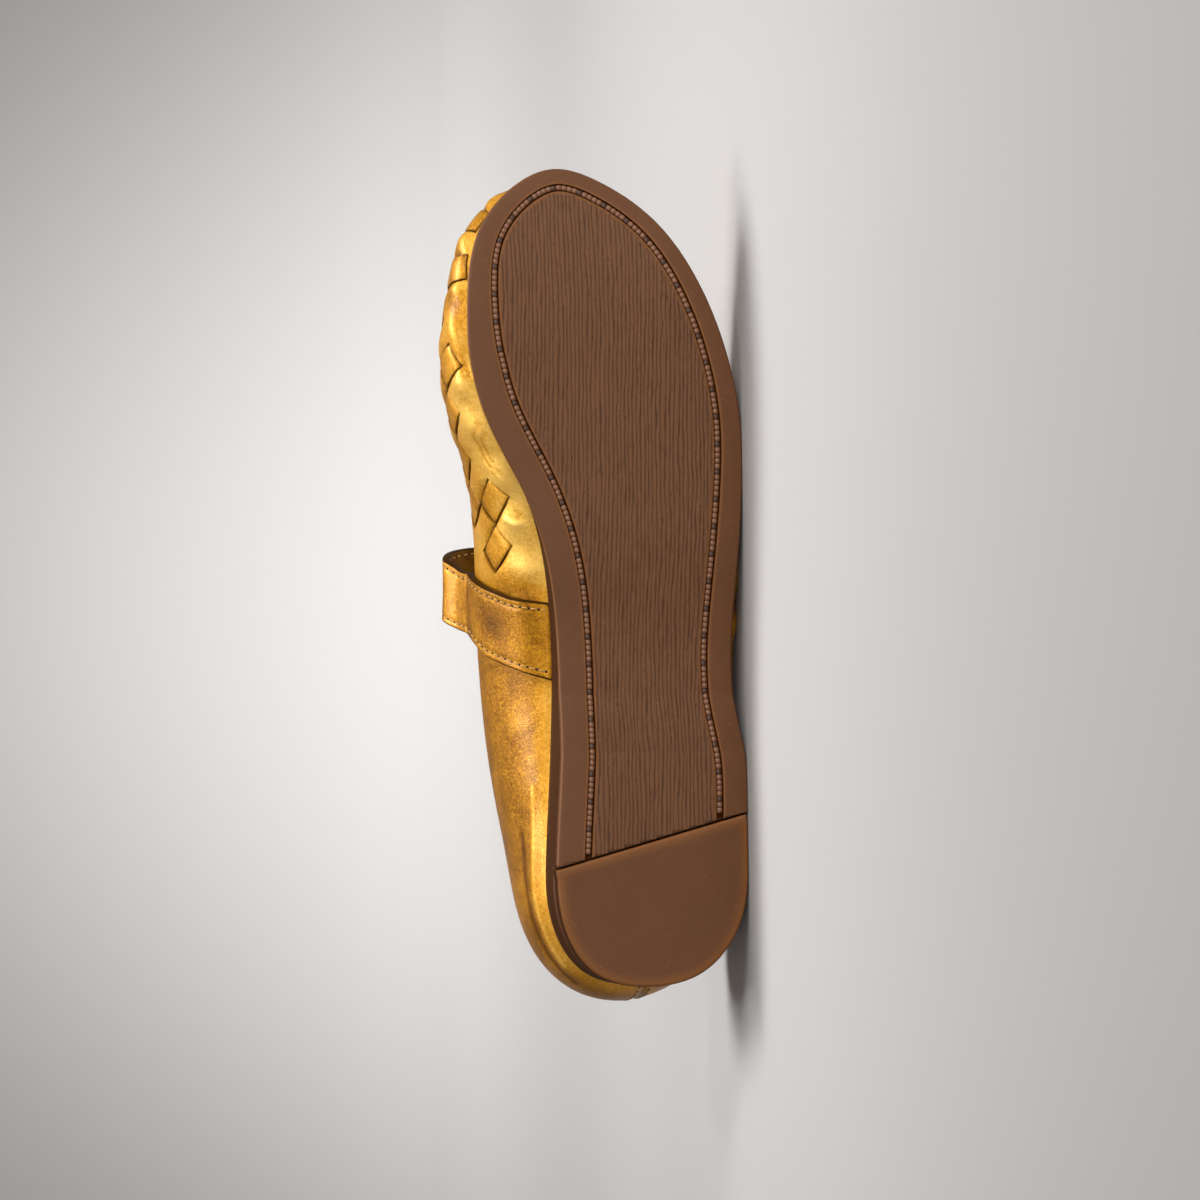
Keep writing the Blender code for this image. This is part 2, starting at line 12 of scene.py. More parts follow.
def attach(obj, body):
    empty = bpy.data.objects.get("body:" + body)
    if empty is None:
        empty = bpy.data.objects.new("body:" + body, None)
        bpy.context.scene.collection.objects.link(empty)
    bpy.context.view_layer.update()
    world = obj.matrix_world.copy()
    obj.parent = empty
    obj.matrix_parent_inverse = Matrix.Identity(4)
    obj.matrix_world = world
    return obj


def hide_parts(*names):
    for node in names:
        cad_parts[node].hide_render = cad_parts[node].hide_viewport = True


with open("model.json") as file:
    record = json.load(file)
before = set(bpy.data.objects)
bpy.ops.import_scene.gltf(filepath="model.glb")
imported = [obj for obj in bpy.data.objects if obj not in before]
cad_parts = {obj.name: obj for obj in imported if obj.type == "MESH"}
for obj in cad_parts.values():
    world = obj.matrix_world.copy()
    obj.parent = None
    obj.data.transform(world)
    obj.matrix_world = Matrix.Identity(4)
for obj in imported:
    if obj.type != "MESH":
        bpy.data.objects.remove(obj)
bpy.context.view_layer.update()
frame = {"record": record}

# The last and the way the shoe lies
# The shoe is worked out standing, as on its last, in millimetres: x runs from the outer to the
# inner side, y from heel to toe, z up.  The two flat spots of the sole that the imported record
# names give the turn and the place in which it lies on its outer side.
MM = 0.001
HEEL_SPOT = np.array((30.0, 22.0, 0.0))
FOREFOOT_SPOT = np.array((44.0, 170.0, 0.0))
UPWARDS = np.array((0.0, 0.0, 1.0))
SOLE_LENGTH = 246.0
SOLE_WIDTH = 88.0

# edge_x and edge_y are shares of the sole's width and length; the rest are millimetres:
# low and high are the handles of the wall's curve, out is beyond the sole's edge.
SECTIONS = {
    # name:            edge_x edge_y low_out low_up high_out high_down collar_out collar_z
    "heel_back":       (0.347, 0.000, 8.0, 8.0, 9.5, 20.0, -3.5, 65.0),
    "heel_in_corner":  (0.540, 0.017, 6.0, 8.0, 6.5, 20.0, -6.0, 63.5),
    "heel_in":         (0.657, 0.083, 5.0, 8.0, 5.5, 18.0, -5.0, 60.0),
    "seat_in":         (0.673, 0.163, 5.5, 8.0, 7.0, 16.0, 0.8, 56.0),
    "breast_in":       (0.658, 0.285, 8.0, 7.0, 12.5, 14.0, 9.6, 50.5),
    "waist_in":        (0.658, 0.386, 9.0, 7.0, 14.5, 12.0, 13.2, 47.5),
    "arch_in":         (0.688, 0.488, 9.0, 7.0, 15.0, 12.0, 11.4, 47.0),
    "joint_in":        (0.784, 0.596, 9.5, 8.0, 14.5, 9.0, -1.5, 47.0),
    "ball_in":         (0.925, 0.693, 10.5, 8.0, 11.0, 7.0, -22.5, 47.0),
    "ball_front_in":   (0.986, 0.772, 11.5, 8.0, 6.0, 6.5, -39.7, 46.5),
    "toe_in":          (0.992, 0.839, 11.5, 9.0, -4.0, 6.0, -52.6, 46.0),
    "toe_in_corner":   (0.949, 0.919, 9.5, 12.0, -18.0, 7.0, -67.2, 45.5),
    "toe_in_tip":      (0.818, 0.976, 4.0, 14.0, -30.0, 9.0, -75.9, 45.0),
    "toe_tip":         (0.659, 1.000, 2.0, 15.0, -36.0, 11.0, -78.8, 44.5),
    "toe_out_tip":     (0.506, 0.985, 2.0, 14.0, -34.0, 10.0, -74.4, 44.5),
    "toe_out_corner":  (0.314, 0.937, 3.0, 12.0, -24.0, 9.0, -64.5, 44.5),
    "toe_out":         (0.169, 0.863, 4.0, 10.0, -12.0, 8.0, -51.3, 45.0),
    "ball_front_out":  (0.083, 0.790, 5.0, 8.0, -1.0, 8.0, -39.9, 45.0),
    "ball_out":        (0.022, 0.693, 4.5, 7.0, 6.5, 8.0, -28.0, 45.0),
    "joint_out":       (0.016, 0.610, 4.5, 6.0, 5.0, 9.0, -15.5, 46.0),
    "waist_out":       (0.039, 0.455, 8.5, 2.5, 7.5, 11.0, -2.5, 47.0),
    "waist_back_out":  (0.033, 0.350, 8.5, 3.0, 7.5, 13.0, -1.0, 48.5),
    "breast_out":      (0.002, 0.280, 4.5, 6.0, 5.0, 14.0, -1.0, 50.5),
    "seat_out":        (-0.006, 0.183, 2.5, 8.0, 3.5, 16.0, -2.0, 55.0),
    "heel_out":        (0.014, 0.083, 2.5, 8.0, 3.5, 18.0, -3.0, 60.0),
    "heel_out_corner": (0.153, 0.017, 4.5, 8.0, 5.5, 20.0, -3.0, 63.5),
}
EDGE_PROBE = 0.5


def unit(vectors):
    return vectors / np.linalg.norm(vectors, axis=-1, keepdims=True)


spots = {mount["name"]: mount for mount in frame["record"]["mounts"]}
heel_at = np.array(spots["heel_rest"]["pos_m"])
world_forwards = unit(np.array(spots["forefoot_rest"]["pos_m"]) - heel_at)
world_upwards = -unit(np.array(spots["heel_rest"]["axis"]))
shoe_forwards = unit(FOREFOOT_SPOT - HEEL_SPOT)
standing = np.array((shoe_forwards, np.cross(UPWARDS, shoe_forwards), UPWARDS))
lying = np.array((world_forwards, np.cross(world_upwards, world_forwards), world_upwards))
TURN = lying.T @ standing


def to_world(points):
    """World place, in metres, of points of the standing shoe."""
    return heel_at + MM * (np.asarray(points) - HEEL_SPOT) @ TURN.T


def ease(share):
    """Ease from 0 to 1."""
    share = np.clip(share, 0.0, 1.0)
    return share * share * (3.0 - 2.0 * share)


ROWS = np.array(list(SECTIONS.values()))
ROWS[:, 0] *= SOLE_WIDTH
ROWS[:, 1] *= SOLE_LENGTH
STEPS = np.linalg.norm(np.roll(ROWS, -1, axis=0)[:, :2] - ROWS[:, :2], axis=1)
KNOTS = np.concatenate(([0.0], np.cumsum(STEPS)))
GIRTH = KNOTS[-1]
TOE_PLACE = KNOTS[list(SECTIONS).index("toe_tip")]


def spline_bends():
    """Second derivatives of the closed smooth curve through the section table."""
    count = len(ROWS)
    slopes = (np.roll(ROWS, -1, axis=0) - ROWS) / STEPS[:, None]
    matrix = np.zeros((count, count))
    for row in range(count):
        matrix[row, row - 1] = STEPS[row - 1]
        matrix[row, row] = 2.0 * (STEPS[row - 1] + STEPS[row])
        matrix[row, (row + 1) % count] = STEPS[row]
    return np.linalg.solve(matrix, 6.0 * (slopes - np.roll(slopes, 1, axis=0)))


BENDS = spline_bends()


def section(place):
    """All columns of the section table at distances around the sole's edge."""
    place = np.asarray(place, float) % GIRTH
    row = np.clip(np.searchsorted(KNOTS, place, side="right") - 1, 0, len(ROWS) - 1)
    after = (row + 1) % len(ROWS)
    span = STEPS[row][..., None]
    b = (place - KNOTS[row])[..., None] / span
    a = 1.0 - b
    bend = (a ** 3 - a) * BENDS[row] + (b ** 3 - b) * BENDS[after]
    return a * ROWS[row] + b * ROWS[after] + bend * span * span / 6.0


def sole_edge(place, inset=0.0):
    """Points of the sole's outline, moved inwards square to the edge."""
    before = section(place - EDGE_PROBE)
    after = section(place + EDGE_PROBE)
    outwards = unit(np.stack((after[..., 1] - before[..., 1], before[..., 0] - after[..., 0]), axis=-1))
    return section(place)[..., :2] - outwards * np.asarray(inset)[..., None]


def places_around(count):
    return np.arange(count) * GIRTH / count


# Outsole
# One block of brown rubber from heel to toe, poured in a mould: a smooth rim, a sunk channel and
# a field of fine wavy ribs like wood grain.  Its edges are slightly round, as rubber leaves a
# mould.  The heel's top piece sits in a recess behind a slanted joint.
FOREFOOT_THICKNESS = 5.0
HEEL_HEIGHT = 14.0
HEEL_TOP_END = 72.0
BALL_TOP_START = 165.0
TOE_SPRING = 7.0
TOE_SPRING_START = 195.0
WAIST_RISE = 3.5
WAIST_BACK = 88.0
WAIST_FRONT = 98.0
HEEL_BREAST = 70.0
TREAD_START = 140.0
TREAD_EDGE_ROUND = 0.8
TOP_EDGE_ROUND = 0.4
FOREFOOT_TOP_INSET = 1.2
TOP_INSET_START = 110.0
TOP_INSET_END = 150.0
SOLE_SPINE = np.array(((30.0, 26.0), (50.0, 205.0)))
SOLE_RING_POINTS = 620
TOP_RING_SHARES = (0.12, 0.6)
TOP_ROUND_STEPS = 2
SIDE_ROWS = 5
ROUND_STEPS = 4
FILL_INSIDE = 1
FLAT_TOLERANCE = 1e-6
CHANNEL_WIDTH = 2.2
CHANNEL_DEPTH = 1.0
CHANNEL_LIP_ROUND = 0.3
LIP_PAINT = 0.9
CHANNEL_OFFSETS = {
    # edge_y share: distance of its middle from the edge on the inner side, outer side
    0.00: (9.5, 8.9),
    0.30: (9.4, 8.9),
    0.55: (9.6, 8.4),
    0.75: (10.0, 7.2),
    1.00: (5.8, 5.8),
}
HEEL_JOINT_INNER = np.array((58.8, 36.3))
HEEL_JOINT_OUTER = np.array((0.0, 52.5))
HEEL_LIFT_THICKNESS = 4.5
SEAT_GAP = 0.3
RIB_PITCH = 1.3
RIB_DEPTH = 0.34
RIB_COLUMNS_PER_PITCH = 8
RIB_ROW_STEP = 1.4
RIB_BORDER = 0.9
RIB_OVERRUN = 1.5
RIB_SHARPNESS = 3.6
RIB_MEAN_SHARE = 0.6
# Each drift of the ribs: its size across and along them, and how far it goes.
RIB_DRIFTS = ((12.0, 48.0, 1.8), (2.2, 12.0, 1.0), (1.5, 8.0, 1.2))
SHARP_ANGLE = math.radians(42.0)

RIM_BROWN = "#57361F"
FIELD_BROWN = "#5C3B23"
# Painted shade in the ribs' valleys and in the pits of the tread.
VALLEY_SHADE_BROWN = "#301B0E"
# Painted highlight on the channel's rounded lips, and painted orange reflection of the gold upper on the
# tread's edge.
EDGE_HIGHLIGHT_BROWN = "#845121"
# Painted shade: this brown darkens the sole's side, the channel and the waist's ramp.
PAINTED_SHADE_BROWN = "#2A1204"
SPECK_BROWN = "#937050"
CHANNEL_LIP_HIGHLIGHT = 0.34
CHANNEL_LIP_SHADE = 0.7
CHANNEL_SHADE = 1.0
SIDE_SHADE = 0.8
TREAD_EDGE_HIGHLIGHT = 0.35
TREAD_EDGE_RINGS = 2
# Painted shade on the waist's ramp just ahead of the heel's breast, which turns away from the light.
FOLD_EDGE = 1.2
FOLD_FADE = 24.0
FOLD_SHADE = 0.14
RUBBER_CLOUD_SIZE = 14.0
RUBBER_CLOUD_SHADE = 0.05
RUBBER_GRIT_SIZE = 0.5
RUBBER_GRIT_HEIGHT = 0.2
RUBBER_GLOSS = (0.46, 0.64)
RUBBER_SHINE = 0.18
RUBBER_BUMP = 0.2
SPECK_SPACING = 2.6
SPECK_RADIUS = 0.22
SPECK_SHARE = 0.6
SCRATCH_TURN = math.radians(40.0)
SCRATCH_LEVELS = (0.6, 0.8)
SCRATCH_SHARE = 0.1
PIT_LEVELS = (0.62, 0.72)
PIT_SHADE = 0.4
# Noises drawn out in one direction: stretch, detail and distortion.
SCRATCH_NOISE = ((1 / 6.0, 1 / 0.3, 1 / 0.3), 1.0, 0.0)
GRAIN_NOISE = ((1 / 0.5, 1 / 9.0, 0.0), 3.0, 0.4)
PIT_NOISE = ((1 / 0.6, 1 / 2.2, 0.0), 2.0, 0.8)
# Sockets of a Mix node when it mixes colours.
MIX_FIRST = 6
MIX_SECOND = 7
MIX_RESULT = 2


def toe_spring(y):
    return TOE_SPRING * np.maximum(0.0, (y - TOE_SPRING_START) / (SOLE_LENGTH - TOE_SPRING_START)) ** 2


def sole_top(y):
    fall = ease((y - HEEL_TOP_END) / (BALL_TOP_START - HEEL_TOP_END))
    return HEEL_HEIGHT + (FOREFOOT_THICKNESS - HEEL_HEIGHT) * fall + toe_spring(y)


def sole_bottom(y):
    behind = np.clip((y - HEEL_BREAST) / (WAIST_BACK - HEEL_BREAST), 0.0, 1.0)
    ahead = 1.0 - ease((y - WAIST_FRONT) / (TREAD_START - WAIST_FRONT))
    return WAIST_RISE * behind * ahead + toe_spring(y)


def top_inset(y):
    return FOREFOOT_TOP_INSET * ease((y - TOP_INSET_START) / (TOP_INSET_END - TOP_INSET_START))


def at_share(table, share):
    """Columns of a table that is kept by shares, read at other shares."""
    return [np.interp(share, list(table), column) for column in zip(*table.values())]


def channel_offset(place):
    inner, outer = at_share(CHANNEL_OFFSETS, section(place)[..., 1] / SOLE_LENGTH)
    return np.where(place < TOE_PLACE, inner, outer)


def towards_spine(ring, share):
    low, high = SOLE_SPINE
    along = np.clip((ring[:, 1] - low[1]) / (high[1] - low[1]), 0.0, 1.0)[:, None]
    spine = low + (high - low) * along
    return spine + (ring - spine) * share


def on_height(flat, height, lift=0.0):
    return np.column_stack((flat, height(flat[:, 1]) + lift))


def quarter_turn(steps):
    """Sines and cosines of a rounded edge, both ends included."""
    angles = np.linspace(0.0, math.pi / 2, steps + 1)
    return list(zip(np.sin(angles), np.cos(angles)))


def band(low, high, count):
    """Faces between two rings of equal count, from the numbers of their first points."""
    here = np.arange(count)
    beside = (here + 1) % count
    return np.column_stack((low + here, low + beside, high + beside, high + here)).tolist()


def ring_bands(first, rings, count):
    """Faces between rings of equal count that follow each other in the list of points."""
    faces = []
    for low in range(first, first + (rings - 1) * count, count):
        faces += band(low, low + count, count)
    return faces


def fill_outline(outline, inside):
    """Triangles across a closed flat outline, through points inside it."""
    flats = [Vector(point) for point in np.concatenate((outline, inside))]
    border = [(step, (step + 1) % len(outline)) for step in range(len(outline))]
    return np.array(delaunay_2d_cdt(flats, border, [], FILL_INSIDE, FLAT_TOLERANCE)[2])


def ahead_of_joint(flat):
    """Distance of points ahead of the slanted joint of the heel."""
    along = unit(HEEL_JOINT_OUTER - HEEL_JOINT_INNER)
    return (np.asarray(flat) - HEEL_JOINT_INNER) @ np.array((along[1], -along[0]))


def add_object(name, data):
    made = bpy.data.objects.new(name, data)
    bpy.context.scene.collection.objects.link(made)
    return made


def keep_vectors(mesh, label, vectors):
    """Keep vectors, one a point, as an attribute of a mesh."""
    layer = mesh.attributes.new(label, "FLOAT_VECTOR", "POINT")
    layer.data.foreach_set("vector", np.asarray(vectors, np.float32).ravel())


def add_piece(name, points, faces, attributes=()):
    """Object from points of the standing shoe, which also keep their place there as an attribute."""
    mesh = bpy.data.meshes.new(name)
    mesh.from_pydata(to_world(points).tolist(), [], faces)
    keep_vectors(mesh, "shoe", points)
    for label, values in dict(attributes).items():
        layer = mesh.attributes.new(label, "FLOAT", "POINT")
        layer.data.foreach_set("value", np.asarray(values, np.float32))
    bm = bmesh.new()
    bm.from_mesh(mesh)
    bmesh.ops.recalc_face_normals(bm, faces=bm.faces)
    bm.to_mesh(mesh)
    bm.free()
    mesh.shade_smooth()
    mesh.set_sharp_from_angle(angle=SHARP_ANGLE)
    return add_object(name, mesh)


def keep_result(piece):
    """Replace a piece's mesh by what its modifiers make of it."""
    depsgraph = bpy.context.evaluated_depsgraph_get()
    evaluated = piece.evaluated_get(depsgraph)
    made = bpy.data.meshes.new_from_object(evaluated, preserve_all_data_layers=True, depsgraph=depsgraph)
    piece.modifiers.clear()
    piece.data = made
    made.name = piece.name


def fill_inputs(tree, made, inputs):
    """Give a node's sockets their links and values."""
    for socket, value in inputs.items():
        if isinstance(value, bpy.types.NodeSocket):
            tree.links.new(value, made.inputs[socket])
        else:
            made.inputs[socket].default_value = value


def node(tree, kind, inputs=None, output=0, **settings):
    """Add a node with its settings, values and links, and return one of its outputs."""
    made = tree.nodes.new(kind)
    for name, value in settings.items():
        setattr(made, name, value)
    fill_inputs(tree, made, inputs or {})
    return made.outputs[output] if made.outputs else None


def colour(code):
    """Linear colour of an sRGB hex value."""
    parts = [int(code[start:start + 2], 16) / 255 for start in (1, 3, 5)]
    return (*[part / 12.92 if part <= 0.04045 else ((part + 0.055) / 1.055) ** 2.4 for part in parts], 1.0)


def sole_rings():
    """Rings from the middle of the sole's top, over its side, to the inner lip of the channel."""
    places = places_around(SOLE_RING_POINTS)
    inset = top_inset(section(places)[:, 1])
    top_edge = sole_edge(places, inset + TOP_EDGE_ROUND)
    half = CHANNEL_WIDTH / 2
    middle = channel_offset(places)
    rings = [on_height(towards_spine(top_edge, share), sole_top) for share in TOP_RING_SHARES]
    for sine, cosine in quarter_turn(TOP_ROUND_STEPS):
        edge = sole_edge(places, inset + TOP_EDGE_ROUND * (1.0 - sine))
        rings.append(on_height(edge, sole_top, TOP_EDGE_ROUND * (cosine - 1.0)))
    top = rings[-1]
    low = on_height(sole_edge(places), sole_bottom, TREAD_EDGE_ROUND)
    for step in range(1, SIDE_ROWS):
        rings.append(top + (low - top) * step / SIDE_ROWS)
    for sine, cosine in quarter_turn(ROUND_STEPS):
        edge = sole_edge(places, TREAD_EDGE_ROUND * (1.0 - cosine))
        rings.append(on_height(edge, sole_bottom, TREAD_EDGE_ROUND * (1.0 - sine)))
    lip = CHANNEL_LIP_ROUND
    rings.append(on_height(sole_edge(places, middle - half - LIP_PAINT), sole_bottom))
    for sine, cosine in quarter_turn(ROUND_STEPS):
        edge = sole_edge(places, middle - half - lip + lip * sine)
        rings.append(on_height(edge, sole_bottom, lip * (1.0 - cosine)))
    for side in (-half, half):
        rings.append(on_height(sole_edge(places, middle + side), sole_bottom, CHANNEL_DEPTH))
    for sine, cosine in reversed(quarter_turn(ROUND_STEPS)):
        edge = sole_edge(places, middle + half + lip - lip * sine)
        rings.append(on_height(edge, sole_bottom, lip * (1.0 - cosine)))
    return rings


def ribbed_field(outline):
    """Fine grid of points inside the channel, dense across the ribs, and their depth from its border."""
    places = places_around(SOLE_RING_POINTS)
    sides = []
    for half in (places < TOE_PLACE, places >= TOE_PLACE):
        order = np.argsort(outline[half][:, 1])
        sides.append(outline[half][order])
    inner, outer = sides
    columns = np.arange(0.0, SOLE_WIDTH, RIB_PITCH / RIB_COLUMNS_PER_PITCH)
    rows = np.arange(HEEL_JOINT_INNER[1] - RIB_OVERRUN, SOLE_LENGTH, RIB_ROW_STEP)
    x, y = (grid.ravel() for grid in np.meshgrid(columns, rows))
    from_inner = np.interp(y, inner[:, 1], inner[:, 0]) - x
    from_outer = x - np.interp(y, outer[:, 1], outer[:, 0])
    from_toe = outline[:, 1].max() - y
    depth = np.minimum(np.minimum(from_inner, from_outer), from_toe)
    keep = (depth > RIB_BORDER / 4) & (ahead_of_joint(np.column_stack((x, y))) > -RIB_OVERRUN)
    return np.column_stack((x, y))[keep], depth[keep]


def new_tree(name, inputs):
    """Empty Geometry Nodes tree with named inputs, and the sockets that give them."""
    tree = bpy.data.node_groups.new(name, "GeometryNodeTree")
    for label, kind in (("Geometry", "Geometry"), *inputs):
        tree.interface.new_socket(label, in_out="INPUT", socket_type="NodeSocket" + kind)
    tree.interface.new_socket("Geometry", in_out="OUTPUT", socket_type="NodeSocketGeometry")
    return tree, node(tree, "NodeGroupInput").node.outputs


def rib_tree():
    """Geometry Nodes tree that presses wandering ribs into the tread and keeps their valleys' share for
    painted shade.
    """
    tree, given = new_tree("tread_ribs", (("Pitch", "Float"), ("Depth", "Float"), ("Upwards", "Vector"),
                                          ("Material", "Material")))
    spot = node(tree, "GeometryNodeInputNamedAttribute", {"Name": "shoe"}, data_type="FLOAT_VECTOR")
    tread = node(tree, "GeometryNodeInputNamedAttribute", {"Name": "tread"}, data_type="FLOAT")
    x = node(tree, "ShaderNodeSeparateXYZ", {0: spot})
    phase = node(tree, "ShaderNodeMath", {0: x, 1: given["Pitch"]}, operation="DIVIDE")
    drifts = []
    for across, along, amount in RIB_DRIFTS:
        stretched = node(tree, "ShaderNodeVectorMath", {0: spot, 1: (1 / across, 1 / along, 0.0)},
                         operation="MULTIPLY")
        drift = node(tree, "ShaderNodeTexNoise", {"Vector": stretched, "Scale": 1.0, "Detail": 1.0})
        drifts.append(node(tree, "ShaderNodeMath", {0: drift, 1: amount, 2: -amount / 2},
                           operation="MULTIPLY_ADD"))
    for drift in drifts[:2]:
        phase = node(tree, "ShaderNodeMath", {0: phase, 1: drift}, operation="ADD")
    angle = node(tree, "ShaderNodeMath", {0: phase, 1: 2.0 * math.pi}, operation="MULTIPLY")
    wave = node(tree, "ShaderNodeMath", {0: angle}, operation="COSINE")
    valley = node(tree, "ShaderNodeMath", {0: wave, 1: -0.5, 2: 0.5}, operation="MULTIPLY_ADD")
    valley = node(tree, "ShaderNodeMath", {0: valley, 1: RIB_SHARPNESS}, operation="POWER")
    uneven = node(tree, "ShaderNodeMath", {0: drifts[2], 1: RIB_MEAN_SHARE}, operation="ADD")
    for factor in (uneven, tread):
        valley = node(tree, "ShaderNodeMath", {0: valley, 1: factor}, operation="MULTIPLY")
    sunk = node(tree, "ShaderNodeMath", {0: valley, 1: given["Depth"]}, operation="MULTIPLY")
    offset = node(tree, "ShaderNodeVectorMath", {0: given["Upwards"], "Scale": sunk}, operation="SCALE")
    pressed = node(tree, "GeometryNodeSetPosition", {"Geometry": given["Geometry"], "Offset": offset})
    stored = node(tree, "GeometryNodeStoreNamedAttribute",
                  {"Geometry": pressed, "Name": "valley", "Value": valley}, data_type="FLOAT")
    real = node(tree, "GeometryNodeRealizeInstances", {"Geometry": stored})
    painted = node(tree, "GeometryNodeSetMaterial", {"Geometry": real, "Material": given["Material"]})
    node(tree, "NodeGroupOutput", {"Geometry": painted})
    return tree


def run_tree(piece, tree, values):
    """Run a Geometry Nodes tree on a piece and keep the result as a plain mesh."""
    modifier = piece.modifiers.new(tree.name, "NODES")
    modifier.node_group = tree
    for item in tree.interface.items_tree:
        if item.in_out == "INPUT" and item.name in values:
            modifier[item.identifier] = values[item.name]
    keep_result(piece)


def new_material(name):
    """Empty material, with its node tree and shader."""
    material = bpy.data.materials.new(name)
    material.use_nodes = True
    return material, material.node_tree, material.node_tree.nodes["Principled BSDF"]


def moulded_rubber(name, base):
    """Brown moulded rubber: dull and even, pale specks, faint slanting scratches, grit; painted shade and
    highlights.
    """
    material, tree, shader = new_material(name)
    spot = node(tree, "ShaderNodeAttribute", output="Vector", attribute_name="shoe")
    tread, lip, shade, valley = (node(tree, "ShaderNodeAttribute", output="Fac", attribute_name=label)
                                 for label in ("tread", "lip", "shade", "valley"))
    cloud, grit = (node(tree, "ShaderNodeTexNoise", {"Vector": spot, "Scale": 1 / size, "Detail": detail})
                   for size, detail in ((RUBBER_CLOUD_SIZE, 4.0), (RUBBER_GRIT_SIZE, 2.0)))
    slanting = node(tree, "ShaderNodeVectorRotate", {"Vector": spot, "Angle": SCRATCH_TURN},
                    rotation_type="Z_AXIS")
    drawn = []
    for place, (stretch, detail, distortion) in ((slanting, SCRATCH_NOISE), (spot, GRAIN_NOISE),
                                                 (spot, PIT_NOISE)):
        stretched = node(tree, "ShaderNodeVectorMath", {0: place, 1: stretch}, operation="MULTIPLY")
        drawn.append(node(tree, "ShaderNodeTexNoise", {"Vector": stretched, "Scale": 1.0, "Detail": detail,
                                                       "Distortion": distortion}))
    scratch, grain, pit = drawn
    scratch = node(tree, "ShaderNodeMapRange", {"Value": scratch, "From Min": SCRATCH_LEVELS[0],
                                               "From Max": SCRATCH_LEVELS[1], "To Max": SCRATCH_SHARE})
    pit = node(tree, "ShaderNodeMapRange", {"Value": pit, "From Min": PIT_LEVELS[0],
                                           "From Max": PIT_LEVELS[1]})
    grain, pit = (node(tree, "ShaderNodeMath", {0: mark, 1: tread}, operation="MULTIPLY")
                  for mark in (grain, pit))
    apart = node(tree, "ShaderNodeTexVoronoi", {"Vector": spot, "Scale": 1 / SPECK_SPACING})
    speck = node(tree, "ShaderNodeMapRange", {"Value": apart, "From Max": SPECK_RADIUS / SPECK_SPACING,
                                             "To Min": SPECK_SHARE, "To Max": 0.0})
    pitted = node(tree, "ShaderNodeMath", {0: pit, 1: PIT_SHADE}, operation="MULTIPLY")
    clouded = node(tree, "ShaderNodeMapRange", {"Value": cloud, "From Min": 0.3, "From Max": 0.7,
                                               "To Min": 1.0 - RUBBER_CLOUD_SHADE,
                                               "To Max": 1.0 + RUBBER_CLOUD_SHADE})
    # Painted shade from the shade and valley shares and in the pits, painted highlight from the lip share;
    # the specks and scratches are the rubber's own.
    paint = colour(base)
    for share, code in ((tread, FIELD_BROWN), (lip, EDGE_HIGHLIGHT_BROWN), (shade, PAINTED_SHADE_BROWN),
                        (valley, VALLEY_SHADE_BROWN), (speck, SPECK_BROWN), (scratch, SPECK_BROWN)):
        paint = node(tree, "ShaderNodeMix", {0: share, MIX_FIRST: paint, MIX_SECOND: colour(code)},
                     output=MIX_RESULT, data_type="RGBA")
    paint = node(tree, "ShaderNodeHueSaturation", {"Color": paint, "Value": clouded})
    # Painted shade in the pits.
    paint = node(tree, "ShaderNodeMix", {0: pitted, MIX_FIRST: paint, MIX_SECOND: colour(VALLEY_SHADE_BROWN)},
                 output=MIX_RESULT, data_type="RGBA")
    gloss = node(tree, "ShaderNodeMapRange", {"Value": grit, "To Min": RUBBER_GLOSS[0],
                                             "To Max": RUBBER_GLOSS[1]})
    # Less shine where shade is painted.
    shine = node(tree, "ShaderNodeMath", {0: shade, 1: -RUBBER_SHINE, 2: RUBBER_SHINE},
                 operation="MULTIPLY_ADD")
    height = node(tree, "ShaderNodeMath", {0: grit, 1: RUBBER_GRIT_HEIGHT, 2: grain},
                  operation="MULTIPLY_ADD")
    height = node(tree, "ShaderNodeMath", {0: height, 1: pit}, operation="SUBTRACT")
    bump = node(tree, "ShaderNodeBump", {"Height": height, "Strength": 0.6, "Distance": RUBBER_BUMP * MM})
    fill_inputs(tree, shader, {"Base Color": paint, "Roughness": gloss, "Normal": bump,
                               "Specular IOR Level": shine})
    return material


def heel_block():
    """Cutter for everything of the sole behind the slanted joint and below the lift's top."""
    along = unit(HEEL_JOINT_OUTER - HEEL_JOINT_INNER)
    backwards = np.array((-along[1], along[0]))
    inner = HEEL_JOINT_INNER - along * SOLE_WIDTH
    outer = HEEL_JOINT_OUTER + along * SOLE_WIDTH
    corners = np.array((inner, outer, outer + backwards * SOLE_WIDTH, inner + backwards * SOLE_WIDTH))
    levels = [np.column_stack((corners, np.full(len(corners), z)))
              for z in (-HEEL_LIFT_THICKNESS, HEEL_LIFT_THICKNESS)]
    faces = ring_bands(0, len(levels), len(corners)) + [(0, 1, 2, 3), (4, 5, 6, 7)]
    return add_piece("heel_recess", np.concatenate(levels), faces)


rings = sole_rings()
field, field_depth = ribbed_field(rings[-1][:, :2])
sole_points = np.concatenate(rings + [on_height(field, sole_bottom)])
sole_faces = ring_bands(0, len(rings), SOLE_RING_POINTS)
sole_faces += fill_outline(rings[0][:, :2], np.empty((0, 2))).tolist()
last_ring = (len(rings) - 1) * SOLE_RING_POINTS
sole_faces += (fill_outline(rings[-1][:, :2], field) + last_ring).tolist()
side = len(TOP_RING_SHARES) + TOP_ROUND_STEPS
tread_edge = side + SIDE_ROWS
inner_lip = len(rings) - ROUND_STEPS - 1
channel_floor = inner_lip - 2
outer_lip = channel_floor - ROUND_STEPS - 1
